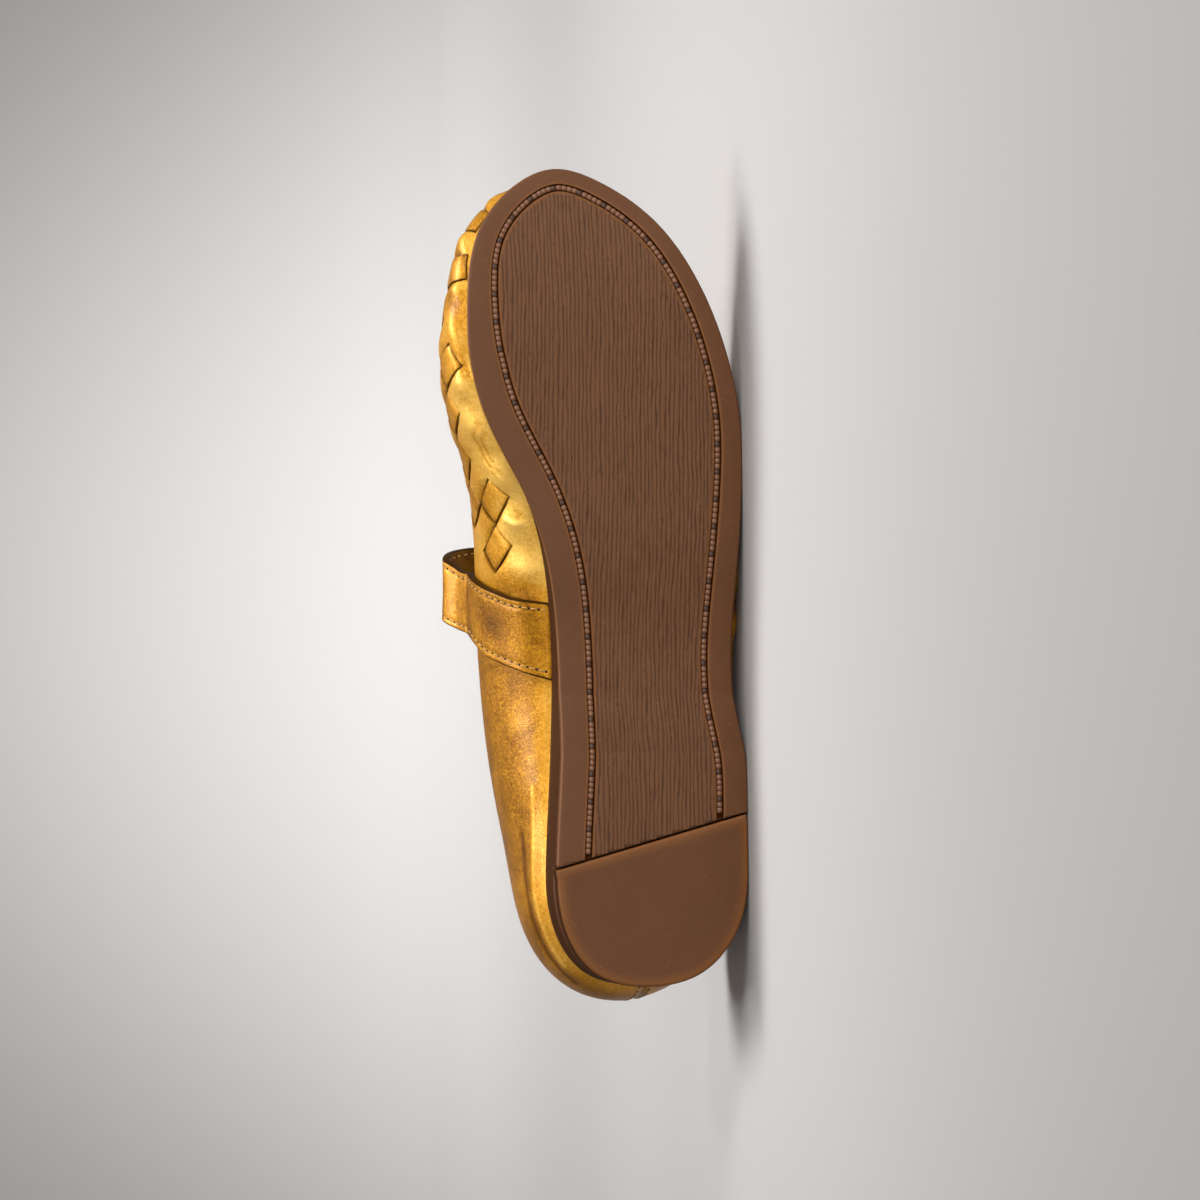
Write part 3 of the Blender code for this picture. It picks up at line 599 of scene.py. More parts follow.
# Painted reflection along the tread's edge and painted highlight on the channel's lips.
lip_highlight_rings = np.zeros(len(rings))
lip_highlight_rings[tread_edge:tread_edge + TREAD_EDGE_RINGS] = TREAD_EDGE_HIGHLIGHT
lip_highlight_rings[outer_lip:channel_floor] = CHANNEL_LIP_HIGHLIGHT
lip_highlight_rings[inner_lip:] = CHANNEL_LIP_HIGHLIGHT
# Painted shade on the sole's side and in the channel, whose walls stand in shade.
shade_rings = np.zeros(len(rings))
shade_rings[side:tread_edge] = SIDE_SHADE
shade_rings[channel_floor - 1:inner_lip + 1] = CHANNEL_LIP_SHADE
shade_rings[channel_floor:inner_lip] = CHANNEL_SHADE
lip, shade = (np.concatenate((np.repeat(row, SOLE_RING_POINTS), np.zeros(len(field))))
              for row in (lip_highlight_rings, shade_rings))
# Painted shade on the ramp ahead of the heel's breast, sharp at the fold and fading forwards.
past_fold = sole_points[:, 1] - HEEL_BREAST
fold = ease(past_fold / FOLD_EDGE) * (1.0 - ease((past_fold - FOLD_EDGE) / FOLD_FADE))
shade = np.maximum(shade, FOLD_SHADE * fold)
tread = np.zeros(len(sole_points))
tread[-len(field):] = ease(field_depth / RIB_BORDER)
outsole = add_piece("outsole_rubber", sole_points, sole_faces, {"tread": tread, "lip": lip, "shade": shade})
sole_rubber = moulded_rubber("moulded_brown_rubber", RIM_BROWN)
run_tree(outsole, rib_tree(), {"Pitch": RIB_PITCH, "Depth": RIB_DEPTH * MM,
                               "Upwards": world_upwards.tolist(), "Material": sole_rubber})
recess = heel_block()
cut = outsole.modifiers.new("heel_recess", "BOOLEAN")
cut.object = recess
cut.solver = "EXACT"
keep_result(outsole)
bpy.data.objects.remove(recess)
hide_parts("outsole")
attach(outsole, "root")

# Channel stitches
# The mould leaves a row of small rubber beads in the channel, four to a stitch with a low bar
# between the stitches, so the channel looks sewn.  One Geometry Nodes tree sets them out along
# the channel's middle; the sewn seams further on use the same tree for thread and for the needle
# holes' painted shade.
BEAD_SPACING = 1.66
BEADS_TO_A_STITCH = 4
BEAD_SIZE = (1.85, 1.72, 1.2)
BAR_SIZE = (1.9, 1.6, 0.7)
BLOCK_CREASE = 0.4
BEAD_BROWN = "#6C462D"
BAR_BROWN = "#3E2414"
CHANNEL_END_GAP = 2.0
ROW_STEP = 0.8
LAST_OF_GROUP = 1.5
UNEVENNESS = 0.18


def row_tree():
    """Geometry Nodes tree that sets small round blocks along rows, each group's last of another size."""
    tree, given = new_tree("sewn_row", (
        ("Spacing", "Float"), ("Group", "Int"), ("Main Size", "Vector"), ("Second Size", "Vector"),
        ("Main Material", "Material"), ("Second Material", "Material")))
    line = node(tree, "GeometryNodeMeshToCurve", {"Mesh": given["Geometry"]})
    points = node(tree, "GeometryNodeResampleCurve", {"Curve": line, "Length": given["Spacing"]},
                  mode="LENGTH")
    outwards = node(tree, "GeometryNodeInputNamedAttribute", {"Name": "outwards"},
                    data_type="FLOAT_VECTOR")
    along = node(tree, "GeometryNodeInputTangent")
    turn = node(tree, "FunctionNodeAlignRotationToVector", {"Vector": along}, axis="X")
    turn = node(tree, "FunctionNodeAlignRotationToVector", {"Rotation": turn, "Vector": outwards},
                axis="Z", pivot_axis="X")
    index = node(tree, "GeometryNodeInputIndex")
    number = node(tree, "ShaderNodeMath", {0: index, 1: given["Group"]}, operation="MODULO")
    limit = node(tree, "ShaderNodeMath", {0: given["Group"], 1: LAST_OF_GROUP}, operation="SUBTRACT")
    block = node(tree, "GeometryNodeMeshCube", {"Size": (1.0, 1.0, 1.0)})
    block = node(tree, "GeometryNodeSubdivisionSurface",
                 {"Mesh": block, "Level": 1, "Edge Crease": BLOCK_CREASE})
    block = node(tree, "GeometryNodeSetShadeSmooth", {"Geometry": block})
    joined = tree.nodes.new("GeometryNodeJoinGeometry")
    for label, test in (("Main", "LESS_THAN"), ("Second", "GREATER_THAN")):
        chosen = node(tree, "ShaderNodeMath", {0: number, 1: limit}, operation=test)
        set_out = node(tree, "GeometryNodeInstanceOnPoints",
                       {"Points": points, "Selection": chosen, "Instance": block, "Rotation": turn,
                        "Scale": given[label + " Size"]})
        real = node(tree, "GeometryNodeRealizeInstances", {"Geometry": set_out})
        painted = node(tree, "GeometryNodeSetMaterial",
                       {"Geometry": real, "Material": given[label + " Material"]})
        tree.links.new(painted, joined.inputs[0])
    node(tree, "NodeGroupOutput", {"Geometry": joined.outputs[0]})
    return tree


SEWN_ROW = row_tree()


def sewn_row(name, rows, spacing, group, main, second):
    """Piece of beads or stitches along rows of points with their outward directions."""
    mesh = bpy.data.meshes.new(name)
    points = np.concatenate([row[0] for row in rows])
    outwards = np.concatenate([row[1] for row in rows])
    edges = []
    first = 0
    for row, _ in rows:
        edges += [(first + step, first + step + 1) for step in range(len(row) - 1)]
        first += len(row)
    mesh.from_pydata(to_world(points).tolist(), edges, [])
    keep_vectors(mesh, "outwards", outwards @ TURN.T)
    piece = add_object(name, mesh)
    run_tree(piece, SEWN_ROW, {
        "Spacing": spacing * MM, "Group": group,
        "Main Size": [size * MM for size in main[0]], "Second Size": [size * MM for size in second[0]],
        "Main Material": main[1], "Second Material": second[1]})
    return piece


def plain_finish(name, code, roughness, grain_size, grain_depth):
    """Small plain part in one colour, with a fine grain so that it isn't quite even."""
    material, tree, shader = new_material(name)
    spot = node(tree, "ShaderNodeTexCoord", output="Object")
    grain = node(tree, "ShaderNodeTexNoise", {"Vector": spot, "Scale": 1 / (grain_size * MM),
                                             "Detail": 3.0})
    shade = node(tree, "ShaderNodeMapRange", {"Value": grain, "To Min": 1.0 - UNEVENNESS,
                                             "To Max": 1.0 + UNEVENNESS})
    paint = node(tree, "ShaderNodeHueSaturation", {"Color": colour(code), "Value": shade})
    bump = node(tree, "ShaderNodeBump", {"Height": grain, "Strength": 0.5, "Distance": grain_depth * MM})
    fill_inputs(tree, shader, {"Base Color": paint, "Normal": bump})
    shader.inputs["Roughness"].default_value = roughness
    return material


around = np.arange(0.0, GIRTH, ROW_STEP)
channel_line = on_height(sole_edge(around, channel_offset(around)), sole_bottom, CHANNEL_DEPTH)
channel_line = channel_line[ahead_of_joint(channel_line[:, :2]) > CHANNEL_END_GAP]
facing_down = np.tile(-UPWARDS, (len(channel_line), 1))
bead_rubber = plain_finish("bead_rubber", BEAD_BROWN, roughness=0.5, grain_size=0.6, grain_depth=0.05)
bar_rubber = plain_finish("bar_rubber", BAR_BROWN, roughness=0.6, grain_size=0.6, grain_depth=0.05)
beads = sewn_row("channel_stitches", [(channel_line, facing_down)], BEAD_SPACING, BEADS_TO_A_STITCH + 1,
                 (BEAD_SIZE, bead_rubber), (BAR_SIZE, bar_rubber))
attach(beads, "root")

# Heel lift
# The heel's top piece, a smooth slab of slightly darker rubber behind the slanted joint.  It is
# moulded apart and glued into the outsole's recess, so a thin dark line shows where they meet.
HEEL_BROWN = "#55341D"
LIFT_ROUND = 1.0
# Painted highlight near the low edge of the lift's face, and painted shade on its side.
LIFT_EDGE_HIGHLIGHT = 0.42
LIFT_SIDE_SHADE = 0.8
LIFT_GRID = 1.5
LIP_HIGHLIGHT_FADE = 4.0
JOINT_GAP = 0.6
LIFT_TOP_ROUND = 0.3
HEEL_REACH = 95.0
OUTLINE_STEP = 0.9
JOINT_STEP = 2.0


def moved_inwards(outline, inset):
    """Closed outline, counter-clockwise, moved inwards by an inset, corners mitred."""
    forwards = unit(np.roll(outline, -1, axis=0) - outline)
    outwards = np.column_stack((forwards[:, 1], -forwards[:, 0]))
    before = np.roll(outwards, 1, axis=0)
    share = 1.0 + np.sum(outwards * before, axis=1, keepdims=True)
    return outline - inset * (outwards + before) / share


def grid_inside(outline, step, margin):
    """Points of a square grid inside a closed outline, clear of it."""
    low = outline.min(axis=0)
    high = outline.max(axis=0)
    x, y = np.meshgrid(np.arange(low[0], high[0], step), np.arange(low[1], high[1], step))
    points = np.column_stack((x.ravel(), y.ravel()))
    following = np.roll(outline, -1, axis=0)
    inside = np.zeros(len(points), bool)
    for (ax, ay), (bx, by) in zip(outline, following):
        crosses = (ay > points[:, 1]) != (by > points[:, 1])
        if ay != by:
            inside ^= crosses & (points[:, 0] < ax + (points[:, 1] - ay) * (bx - ax) / (by - ay))
    distance = np.full(len(points), np.inf)
    for corner in outline:
        distance = np.minimum(distance, np.linalg.norm(points - corner, axis=1))
    return points[inside & (distance > margin)]


def slab(name, outline, low, high, low_round, high_round, inside, edge_shade=0.0, lip_highlight=0.0):
    """Closed slab over an outline between two heights, edges rounded, painted shade on its side and
    highlight at its low edge.
    """
    rings = []
    for sine, cosine in reversed(quarter_turn(ROUND_STEPS)):
        inset = high_round * (1.0 - cosine)
        rings.append(on_height(moved_inwards(outline, inset), high, high_round * (sine - 1.0)))
    for sine, cosine in quarter_turn(ROUND_STEPS):
        inset = low_round * (1.0 - cosine)
        rings.append(on_height(moved_inwards(outline, inset), low, low_round * (1.0 - sine)))
    count = len(outline)
    points = np.concatenate(rings + [on_height(inside, high), on_height(inside, low)])
    faces = ring_bands(0, len(rings), count)
    for ring, first in ((0, len(rings) * count), (len(rings) - 1, len(rings) * count + len(inside))):
        filled = fill_outline(rings[ring][:, :2], inside)
        numbers = np.concatenate((ring * count + np.arange(count), first + np.arange(len(inside))))
        faces += numbers[filled].tolist()
    # Painted highlight fading in from the low edge, and painted shade on the side.
    distance = np.min([np.linalg.norm(points[:, :2] - corner, axis=1) for corner in outline], axis=0)
    lip = lip_highlight * (1.0 - ease(distance / LIP_HIGHLIGHT_FADE))
    shade = np.zeros(len(points))
    side_end = (len(rings) - ROUND_STEPS) * count
    lip[:side_end] = 0.0
    shade[:side_end] = edge_shade
    shade[side_end:side_end + count] = edge_shade / 2
    return add_piece(name, points, faces, {"lip": lip, "shade": shade})


def lift_outline():
    """Sole's edge around the heel, closed by the straight joint."""
    places = np.arange(-HEEL_REACH, HEEL_REACH, OUTLINE_STEP)
    edge = sole_edge(places)
    edge = edge[ahead_of_joint(edge) < -JOINT_GAP - 2.0 * LIFT_ROUND]
    along = unit(HEEL_JOINT_OUTER - HEEL_JOINT_INNER)
    forwards = np.array((along[1], -along[0]))
    ends = [point - forwards * (ahead_of_joint(point) + JOINT_GAP) for point in (edge[-1], edge[0])]
    count = int(np.linalg.norm(ends[1] - ends[0]) / JOINT_STEP)
    joint = ends[0] + (ends[1] - ends[0]) * np.linspace(0.0, 1.0, count)[:, None]
    return np.concatenate((edge, joint))


def lift_top(y):
    return np.full_like(y, HEEL_LIFT_THICKNESS - SEAT_GAP)


lift_edge = lift_outline()
heel_lift = slab("heel_lift_rubber", lift_edge, sole_bottom, lift_top, LIFT_ROUND, LIFT_TOP_ROUND,
                 grid_inside(lift_edge, LIFT_GRID, LIFT_GRID), LIFT_SIDE_SHADE, LIFT_EDGE_HIGHLIGHT)
heel_lift.data.materials.append(moulded_rubber("moulded_heel_rubber", HEEL_BROWN))
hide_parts("heel_lift")
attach(heel_lift, "root")

# Insole
# A board covered by a leather sock, natural tan and matt, seated on the sole inside the wall.
# It shows only through the collar, so its finish is plain.
INSOLE_THICKNESS = 3.0
FEATHER_INSET = 0.8
WALL_THICKNESS = 1.8
INSOLE_INSET = FEATHER_INSET + WALL_THICKNESS + SEAT_GAP
INSOLE_ROUND = 0.4
INSOLE_GRID = 4.0
INSOLE_POINTS = 300
SOCK_TAN = "#B98A50"


def insole_low(y):
    return sole_top(y) + SEAT_GAP


def insole_high(y):
    return insole_low(y) + INSOLE_THICKNESS


insole_places = places_around(INSOLE_POINTS)
insole_outline = sole_edge(insole_places, INSOLE_INSET + top_inset(section(insole_places)[:, 1]))
insole = slab("insole_sock", insole_outline, insole_low, insole_high, TOP_EDGE_ROUND, INSOLE_ROUND,
              grid_inside(insole_outline, INSOLE_GRID, INSOLE_GRID / 2))
sock_leather = plain_finish("sock_leather", SOCK_TAN, roughness=0.62, grain_size=0.9, grain_depth=0.08)
insole.data.materials.append(sock_leather)
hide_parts("insole")
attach(insole, "root")

# Upper
# One wall of glazed gold calf, 1.8 mm with its lining, lasted over the feather of the sole.  The
# vamp is slit and woven: strips run slantwise over and under the slit leather, above a plain,
# puckered margin that is narrower at the toe.  The quarters are plain.  Painted shade darkens the
# quarters, the slits, the strips' ends and sides, the sheet's dips, the puckers' valleys, the
# creases' troughs and the seams; a painted highlight pales the margin at the ball and the creases'
# ridges.
COLLAR_SPINE = np.array(((30.0, 28.0), (45.0, 150.0)))
COLLAR_SPINE_SOFTNESS = 20.0
SECTION_STEPS = 48
NORMAL_PROBE = 1.0
RAY_COUNT = 480
RIM_RADIUS = WALL_THICKNESS / 2
RIM_STEPS = 6
UPPER_RING_POINTS = 640
RING_CLEARANCE = 0.5
LINING_ROWS = 26
NET_RISES = (1.0, 80.0)
NET_STEP = 1.3
FINE_NET_STEP = 0.72
FINE_NET_PLACES = (14.0, 236.0)
FINE_NET_REACH = 28.0
SEAM_NET_REACH = 6.0
SKIN_TOLERANCE = 1e-7
POINTS_AT_ONCE = 4000

# The vamp's pattern: how far back it goes around the edge on both sides, and its grid.
VAMP_BACK_INNER = 122.0
VAMP_BACK_OUTER = 106.0
VAMP_EASE = 10.0
PATTERN_PLACES = (118.0, 460.0)
PATTERN_COLUMNS = 76
PATTERN_ROWS = 17
PATTERN_ROUNDS = 60
PATTERN_TOLERANCE = 0.01

# The weave: the square seen best from the inner side, around the edge and above the feather, the
# turn of its strip towards the feather, the size of the squares and how many are tried each way.
WEAVE_PLACE = 162.2
WEAVE_ABOVE_FEATHER = 14.1
WEAVE_TURN = math.radians(-46.0)
STRIP_RUN = 13.1
STRIP_WIDTH = 8.7
SQUARES = 34
WEAVE_FEATHER_MARGIN = 11.5
WEAVE_TOE_MARGIN = 7.2
WEAVE_TOE = (210.0, 320.0)
WEAVE_TOE_EASE = 18.0
WEAVE_COLLAR_MARGIN = 10.0
STRIP_TOP = 0.95
STRIP_TUCK = 0.8
STRIP_TUCK_POWER = 7
STRIP_SIDE_FALL = 0.2
STRIP_SIDE_POWER = 5
STRIP_BURNISH = 0.3
# Painted shade towards the strips' ends and sides, where they tuck under.
STRIP_END_SHADE = 0.3
STRIP_SIDE_SHADE = 0.25
SHEET_LEVEL = 0.85
SHEET_CROWN = 0.5
SHEET_CROWN_SHARE = 0.25
SHEET_LIP = 0.2
# Painted shade on the sheet's lip beside a slit.
SHEET_LIP_SHADE = 0.3
SHEET_DIP = 0.6
SHEET_DIP_START = 0.2
# Painted shade where the sheet dips under a strip.
SHEET_DIP_SHADE = 0.55
SHEET_EASE_FEATHER = 7.0
SHEET_EASE_COLLAR = 6.0
SLIT_EDGE = 0.3
SLIT_SHOULDER = 0.7
SLIT_DEPTH = 0.3
SLIT_PROBE = 0.05
SLIT_HALO = 0.4
# Painted shade around the slits.
SLIT_HALO_SHADE = 0.4
FINE_INSET = 1.2
FINE_RUN_COLUMNS = 12
FINE_WIDTH_COLUMNS = 9
FINE_DIGITS = 3
PUCKER_LENGTH = 15.2
PUCKER_VALLEY = 163.6
PUCKER_RISE = 0.45
PUCKER_PEAK = 5.5
PUCKER_REACH = 14.0
# Painted shade in the puckers' valleys, less at the ball.
PUCKER_SHADE = 0.55
PUCKER_SHADE_AT_BALL = 0.25
SAG_SIZE = 13.0
SAG_SEED = 3.0
SAG_RISE = 0.3
SAG_EASE = 4.0
# Painted shade on the quarters, which turn from the light.
QUARTER_SHADE = 0.46
QUARTER_SHADE_RISE = 9.0
# Painted highlight on the vamp's margin near the feather, at the ball.
MARGIN_HIGHLIGHT = 0.45
MARGIN_HIGHLIGHT_REACH = 14.0
MARGIN_HIGHLIGHT_END = 222.0
MARGIN_HIGHLIGHT_EASE = 30.0
SEAM_PLACES = (567.4, 479.0)
SEAM_WIDTH = 0.8
SEAM_DEPTH = 0.45
# Painted shade along the seams' grooves.
SEAM_SHADE = 0.5

# Creases, given one by one: half width, rise, and their run as distances around the edge and above
# the feather.
# Painted shade in the creases' troughs and painted highlight on their ridges.
CREASE_SHADE_AND_HIGHLIGHT = 1.9
CREASES = (
    (0.5, -0.26, ((161.6, 7.4), (159.4, 4.2))),
    (0.5, -0.24, ((160.2, 8.2), (158.4, 4.8))),
    (0.5, -0.22, ((158.6, 9.0), (157.4, 5.6))),
    (0.9, 0.3, ((157.2, 11.0), (155.8, 7.0), (156.6, 4.0))),
    (0.5, -0.24, ((204.0, 4.6), (205.4, 1.2))),
    (0.5, -0.24, ((205.6, 4.8), (207.0, 1.4))),
    (0.5, -0.22, ((207.2, 4.6), (208.4, 1.8))),
    (0.6, -0.22, ((187.0, 2.6), (183.0, 6.4), (177.0, 7.0), (172.6, 4.2))),
    (0.6, -0.2, ((189.6, 3.4), (184.6, 8.8), (176.6, 9.2), (170.6, 6.2))),
    (1.3, -0.26, ((62.0, 13.0), (44.0, 11.0), (30.0, 9.6), (16.0, 9.0))),
    (1.1, 0.24, ((76.0, 6.6), (60.0, 6.2), (46.0, 6.6), (34.0, 5.6), (22.0, 5.4))),
    (1.6, -0.3, ((352.0, 16.0), (366.0, 21.0), (380.0, 19.0))),
    (1.4, -0.26, ((470.0, 22.0), (486.0, 15.0), (504.0, 12.0))),
)

DEEP_GOLD = "#7E4E0E"
MAIN_GOLD = "#C08420"
PALE_GOLD = "#E6B65A"
BURNT_BROWN = "#4E2B06"
# Near black of the painted shade in slits and seams and on the strap's inner face, and of the strap's
# painted edges.
SHADE_AND_EDGE_PAINT_BLACK = "#1E1004"
LINING_TAN = "#A87840"
# Noises of the dyed calf: size, detail, roughness and distortion.
LEATHER_NOISES = {
    "cloud":   (11.0, 3.0, 0.5, 0.6),
    "fleck":   (1.0, 5.0, 0.65, 0.0),
    "pore":    (0.4, 3.0, 0.5, 0.0),
    "wrinkle": (1.1, 1.0, 0.5, 1.4),
}
WRINKLE_WIDTH = 0.1
WRINKLE_HEIGHT = 0.55
LEATHER_BUMP = 0.1
LEATHER_TONE = 0.04
CLOUD_TONE = 0.4
FLECK_TONE = 0.5
WRINKLE_TONE = 0.13
# Tone of the burnish and of the painted shade and highlights that share its attribute.
BURNISH_AND_PAINTED_LIGHT_TONE = -0.5
GOLD_STOPS = ((0.27, DEEP_GOLD), (0.52, MAIN_GOLD), (0.85, PALE_GOLD))
LEATHER_GLOSS = (0.3, 0.46)
LEATHER_SHINE = {"Metallic": 0.35, "Coat Weight": 0.12, "Specular IOR Level": 0.5}


def soft_bound(values, bound, sign):
    """Values kept below (sign -1) or above (sign 1) a bound, with a soft corner."""
    return (values + bound + sign * np.hypot(values - bound, COLLAR_SPINE_SOFTNESS)) / 2


def wall_planes(place):
    """Start, outward direction and reach of the wall's upright planes, and their curves' corners."""
    x, y, low_out, low_up, high_out, high_down, collar_out, collar_z = np.moveaxis(section(place), -1, 0)
    low, high = COLLAR_SPINE
    along = soft_bound(soft_bound(y, high[1], -1.0), low[1], 1.0)
    start = low + (high - low) * ((along - low[1]) / (high[1] - low[1]))[:, None]
    reach = np.linalg.norm(np.column_stack((x, y)) - start, axis=1)
    outwards = (np.column_stack((x, y)) - start) / reach[:, None]
    foot_z = sole_top(y) + SEAT_GAP
    corners = np.array((
        (collar_out, collar_z),
        (high_out, collar_z - high_down),
        (low_out, foot_z + low_up),
        (-FEATHER_INSET - top_inset(y), foot_z),
    ))
    return start, outwards, reach, np.moveaxis(corners, -1, 0)


def curve_at(corners, t):
    """Points of cubic curves, one a row, at shares t."""
    t = np.asarray(t)
    weights = np.stack(((1 - t) ** 3, 3 * t * (1 - t) ** 2, 3 * t * t * (1 - t), t ** 3), axis=-1)
    return np.einsum("n...k,nkc->n...c", weights, corners)


def curve_lengths(corners):
    steps = np.tile(np.linspace(0.0, 1.0, SECTION_STEPS + 1), (len(corners), 1))
    points = curve_at(corners, steps)
    pieces = np.linalg.norm(np.diff(points, axis=1), axis=2)
    return np.concatenate((np.zeros((len(corners), 1)), np.cumsum(pieces, axis=1)), axis=1)


def wall_length(place):
    return curve_lengths(wall_planes(place)[3])[:, -1]


def wall(place, down):
    """Points on the wall's outer face, down along its curve from the collar."""
    start, outwards, reach, corners = wall_planes(place)
    lengths = curve_lengths(corners)
    step = np.clip((lengths <= down[:, None]).sum(axis=1) - 1, 0, SECTION_STEPS - 1)
    rows = np.arange(len(place))
    share = (down - lengths[rows, step]) / (lengths[rows, step + 1] - lengths[rows, step])
    spot = curve_at(corners, (step + share) / SECTION_STEPS)
    flat = start + outwards * (reach + spot[:, 0])[:, None]
    return np.column_stack((flat, spot[:, 1]))


def wall_normal(place, down):
    upper_end = np.clip(down - NORMAL_PROBE, 0.0, wall_length(place) - 2 * NORMAL_PROBE)
    downwards = wall(place, upper_end + 2 * NORMAL_PROBE) - wall(place, upper_end)
    across = wall(place + NORMAL_PROBE, down) - wall(place - NORMAL_PROBE, down)
    return unit(np.cross(downwards, across))


def flat_place(place, down):
    """Where points of the wall lie when its curves are laid out flat."""
    start, outwards, reach, corners = wall_planes(place)
    return start + outwards * (reach + corners[:, 0, 0] + down)[:, None]


def wall_place(flat):
    """Places and distances down the wall of points laid out flat; far outside them, not a number."""
    ray_places = places_around(RAY_COUNT)
    start, outwards = wall_planes(ray_places)[:2]
    found = np.full(len(flat), np.nan)
    for first in range(0, len(flat), POINTS_AT_ONCE):
        some = flat[first:first + POINTS_AT_ONCE, None]
        away = some - start
        turns = away[..., 0] * outwards[:, 1] - away[..., 1] * outwards[:, 0]
        following = np.roll(turns, -1, axis=1)
        hit = (turns <= 0.0) & (following > 0.0) & ((away * outwards).sum(axis=2) > 0.0)
        index = hit.argmax(axis=1)
        rows = np.arange(len(some))
        share = turns[rows, index] / (turns[rows, index] - following[rows, index])
        met = ray_places[index] + share * GIRTH / RAY_COUNT
        found[first:first + POINTS_AT_ONCE] = np.where(hit.any(axis=1), met, np.nan)
    place = np.nan_to_num(found)
    start, outwards, reach, corners = wall_planes(place)
    down = ((flat - start) * outwards).sum(axis=1) - reach - corners[:, 0, 0]
    return place, np.where(np.isnan(found), np.nan, down)


def flattened_vamp():
    """Places, shares down and flat points of a grid over the vamp, and its triangles.

    The pattern keeps the wall's true lengths as nearly as it can: each triangle is turned to fit
    its neighbours, the points follow, and so on in rounds.
    """
    place = np.repeat(np.linspace(*PATTERN_PLACES, PATTERN_COLUMNS), PATTERN_ROWS)
    share = np.tile(np.linspace(0.0, 1.0, PATTERN_ROWS), PATTERN_COLUMNS)
    down = share * wall_length(place)
    spots = wall(place, down)
    flat = flat_place(place, down)
    columns = np.arange(PATTERN_COLUMNS - 1)
    rows = np.arange(PATTERN_ROWS - 1)
    corner = (columns[:, None] * PATTERN_ROWS + rows).ravel()
    quads = np.column_stack((corner, corner + PATTERN_ROWS, corner + PATTERN_ROWS + 1, corner + 1))
    triangles = np.concatenate((quads[:, [0, 1, 2]], quads[:, [0, 2, 3]]))
    first, second, third = (spots[triangles[:, number]] for number in range(3))
    along = unit(second - first)
    local = np.zeros((len(triangles), 3, 2))
    local[:, 1, 0] = np.linalg.norm(second - first, axis=1)
    local[:, 2, 0] = ((third - first) * along).sum(axis=1)
    local[:, 2, 1] = np.linalg.norm(third - first - along * local[:, 2, :1], axis=1)
    one = flat[triangles[:, 1]] - flat[triangles[:, 0]]
    two = flat[triangles[:, 2]] - flat[triangles[:, 0]]
    local[..., 1] *= np.sign((one[:, 0] * two[:, 1] - one[:, 1] * two[:, 0]).mean())
    ties = np.zeros((len(flat), len(flat)))
    edges = []
    for number in range(3):
        after, before = (number + 1) % 3, (number + 2) % 3
        one = local[:, after] - local[:, number]
        two = local[:, before] - local[:, number]
        weight = (one * two).sum(axis=1) / np.abs(one[:, 0] * two[:, 1] - one[:, 1] * two[:, 0])
        start, end = triangles[:, after], triangles[:, before]
        edges.append((start, end, weight, local[:, after] - local[:, before]))
        for a, b, sign in ((start, start, 1.0), (end, end, 1.0), (start, end, -1.0), (end, start, -1.0)):
            np.add.at(ties, (a, b), sign * weight)
    ties[0, 0] += 1.0
    solved = np.linalg.inv(ties)
    for _ in range(PATTERN_ROUNDS):
        cosine = np.zeros(len(triangles))
        sine = np.zeros(len(triangles))
        for start, end, weight, true in edges:
            now = flat[start] - flat[end]
            cosine += weight * (now * true).sum(axis=1)
            sine += weight * (true[:, 0] * now[:, 1] - true[:, 1] * now[:, 0])
        size = np.hypot(cosine, sine)
        pull = np.zeros_like(flat)
        for start, end, weight, true in edges:
            turned = np.column_stack((cosine * true[:, 0] - sine * true[:, 1],
                                      sine * true[:, 0] + cosine * true[:, 1]))
            turned *= (weight / size)[:, None]
            np.add.at(pull, start, turned)
            np.add.at(pull, end, -turned)
        flat = solved @ pull
    return place, share, flat, triangles


PATTERN_PLACE, PATTERN_SHARE, PATTERN, PATTERN_FACES = flattened_vamp()
PATTERN_TREE = BVHTree.FromPolygons([(x, y, 0.0) for x, y in PATTERN], PATTERN_FACES.tolist())


def on_pattern(place, down):
    """Pattern points of places on the vamp."""
    start, end = PATTERN_PLACES
    column = (place - start) / (end - start) * (PATTERN_COLUMNS - 1)
    row = down / wall_length(place) * (PATTERN_ROWS - 1)
    left = np.clip(column.astype(int), 0, PATTERN_COLUMNS - 2)
    low = np.clip(row.astype(int), 0, PATTERN_ROWS - 2)
    grid = PATTERN.reshape(PATTERN_COLUMNS, PATTERN_ROWS, 2)
    across = (column - left)[:, None]
    along = (row - low)[:, None]
    near = grid[left, low] * (1.0 - along) + grid[left, low + 1] * along
    far = grid[left + 1, low] * (1.0 - along) + grid[left + 1, low + 1] * along
    return near * (1.0 - across) + far * across


def from_pattern(points):
    """Places and distances down the wall of pattern points; outside the pattern, not a number."""
    place = np.full(len(points), np.nan)
    share = np.full(len(points), np.nan)
    for number, (x, y) in enumerate(points):
        _, _, face, distance = PATTERN_TREE.find_nearest(Vector((x, y, 0.0)))
        if distance > PATTERN_TOLERANCE:
            continue
        corners = PATTERN_FACES[face]
        a, b, c = PATTERN[corners]
        weights = np.linalg.solve(np.column_stack((b - a, c - a)), np.array((x, y)) - a)
        weights = np.array((1.0 - weights.sum(), *weights))
        place[number] = weights @ PATTERN_PLACE[corners]
        share[number] = weights @ PATTERN_SHARE[corners]
    return place, share * wall_length(np.nan_to_num(place))


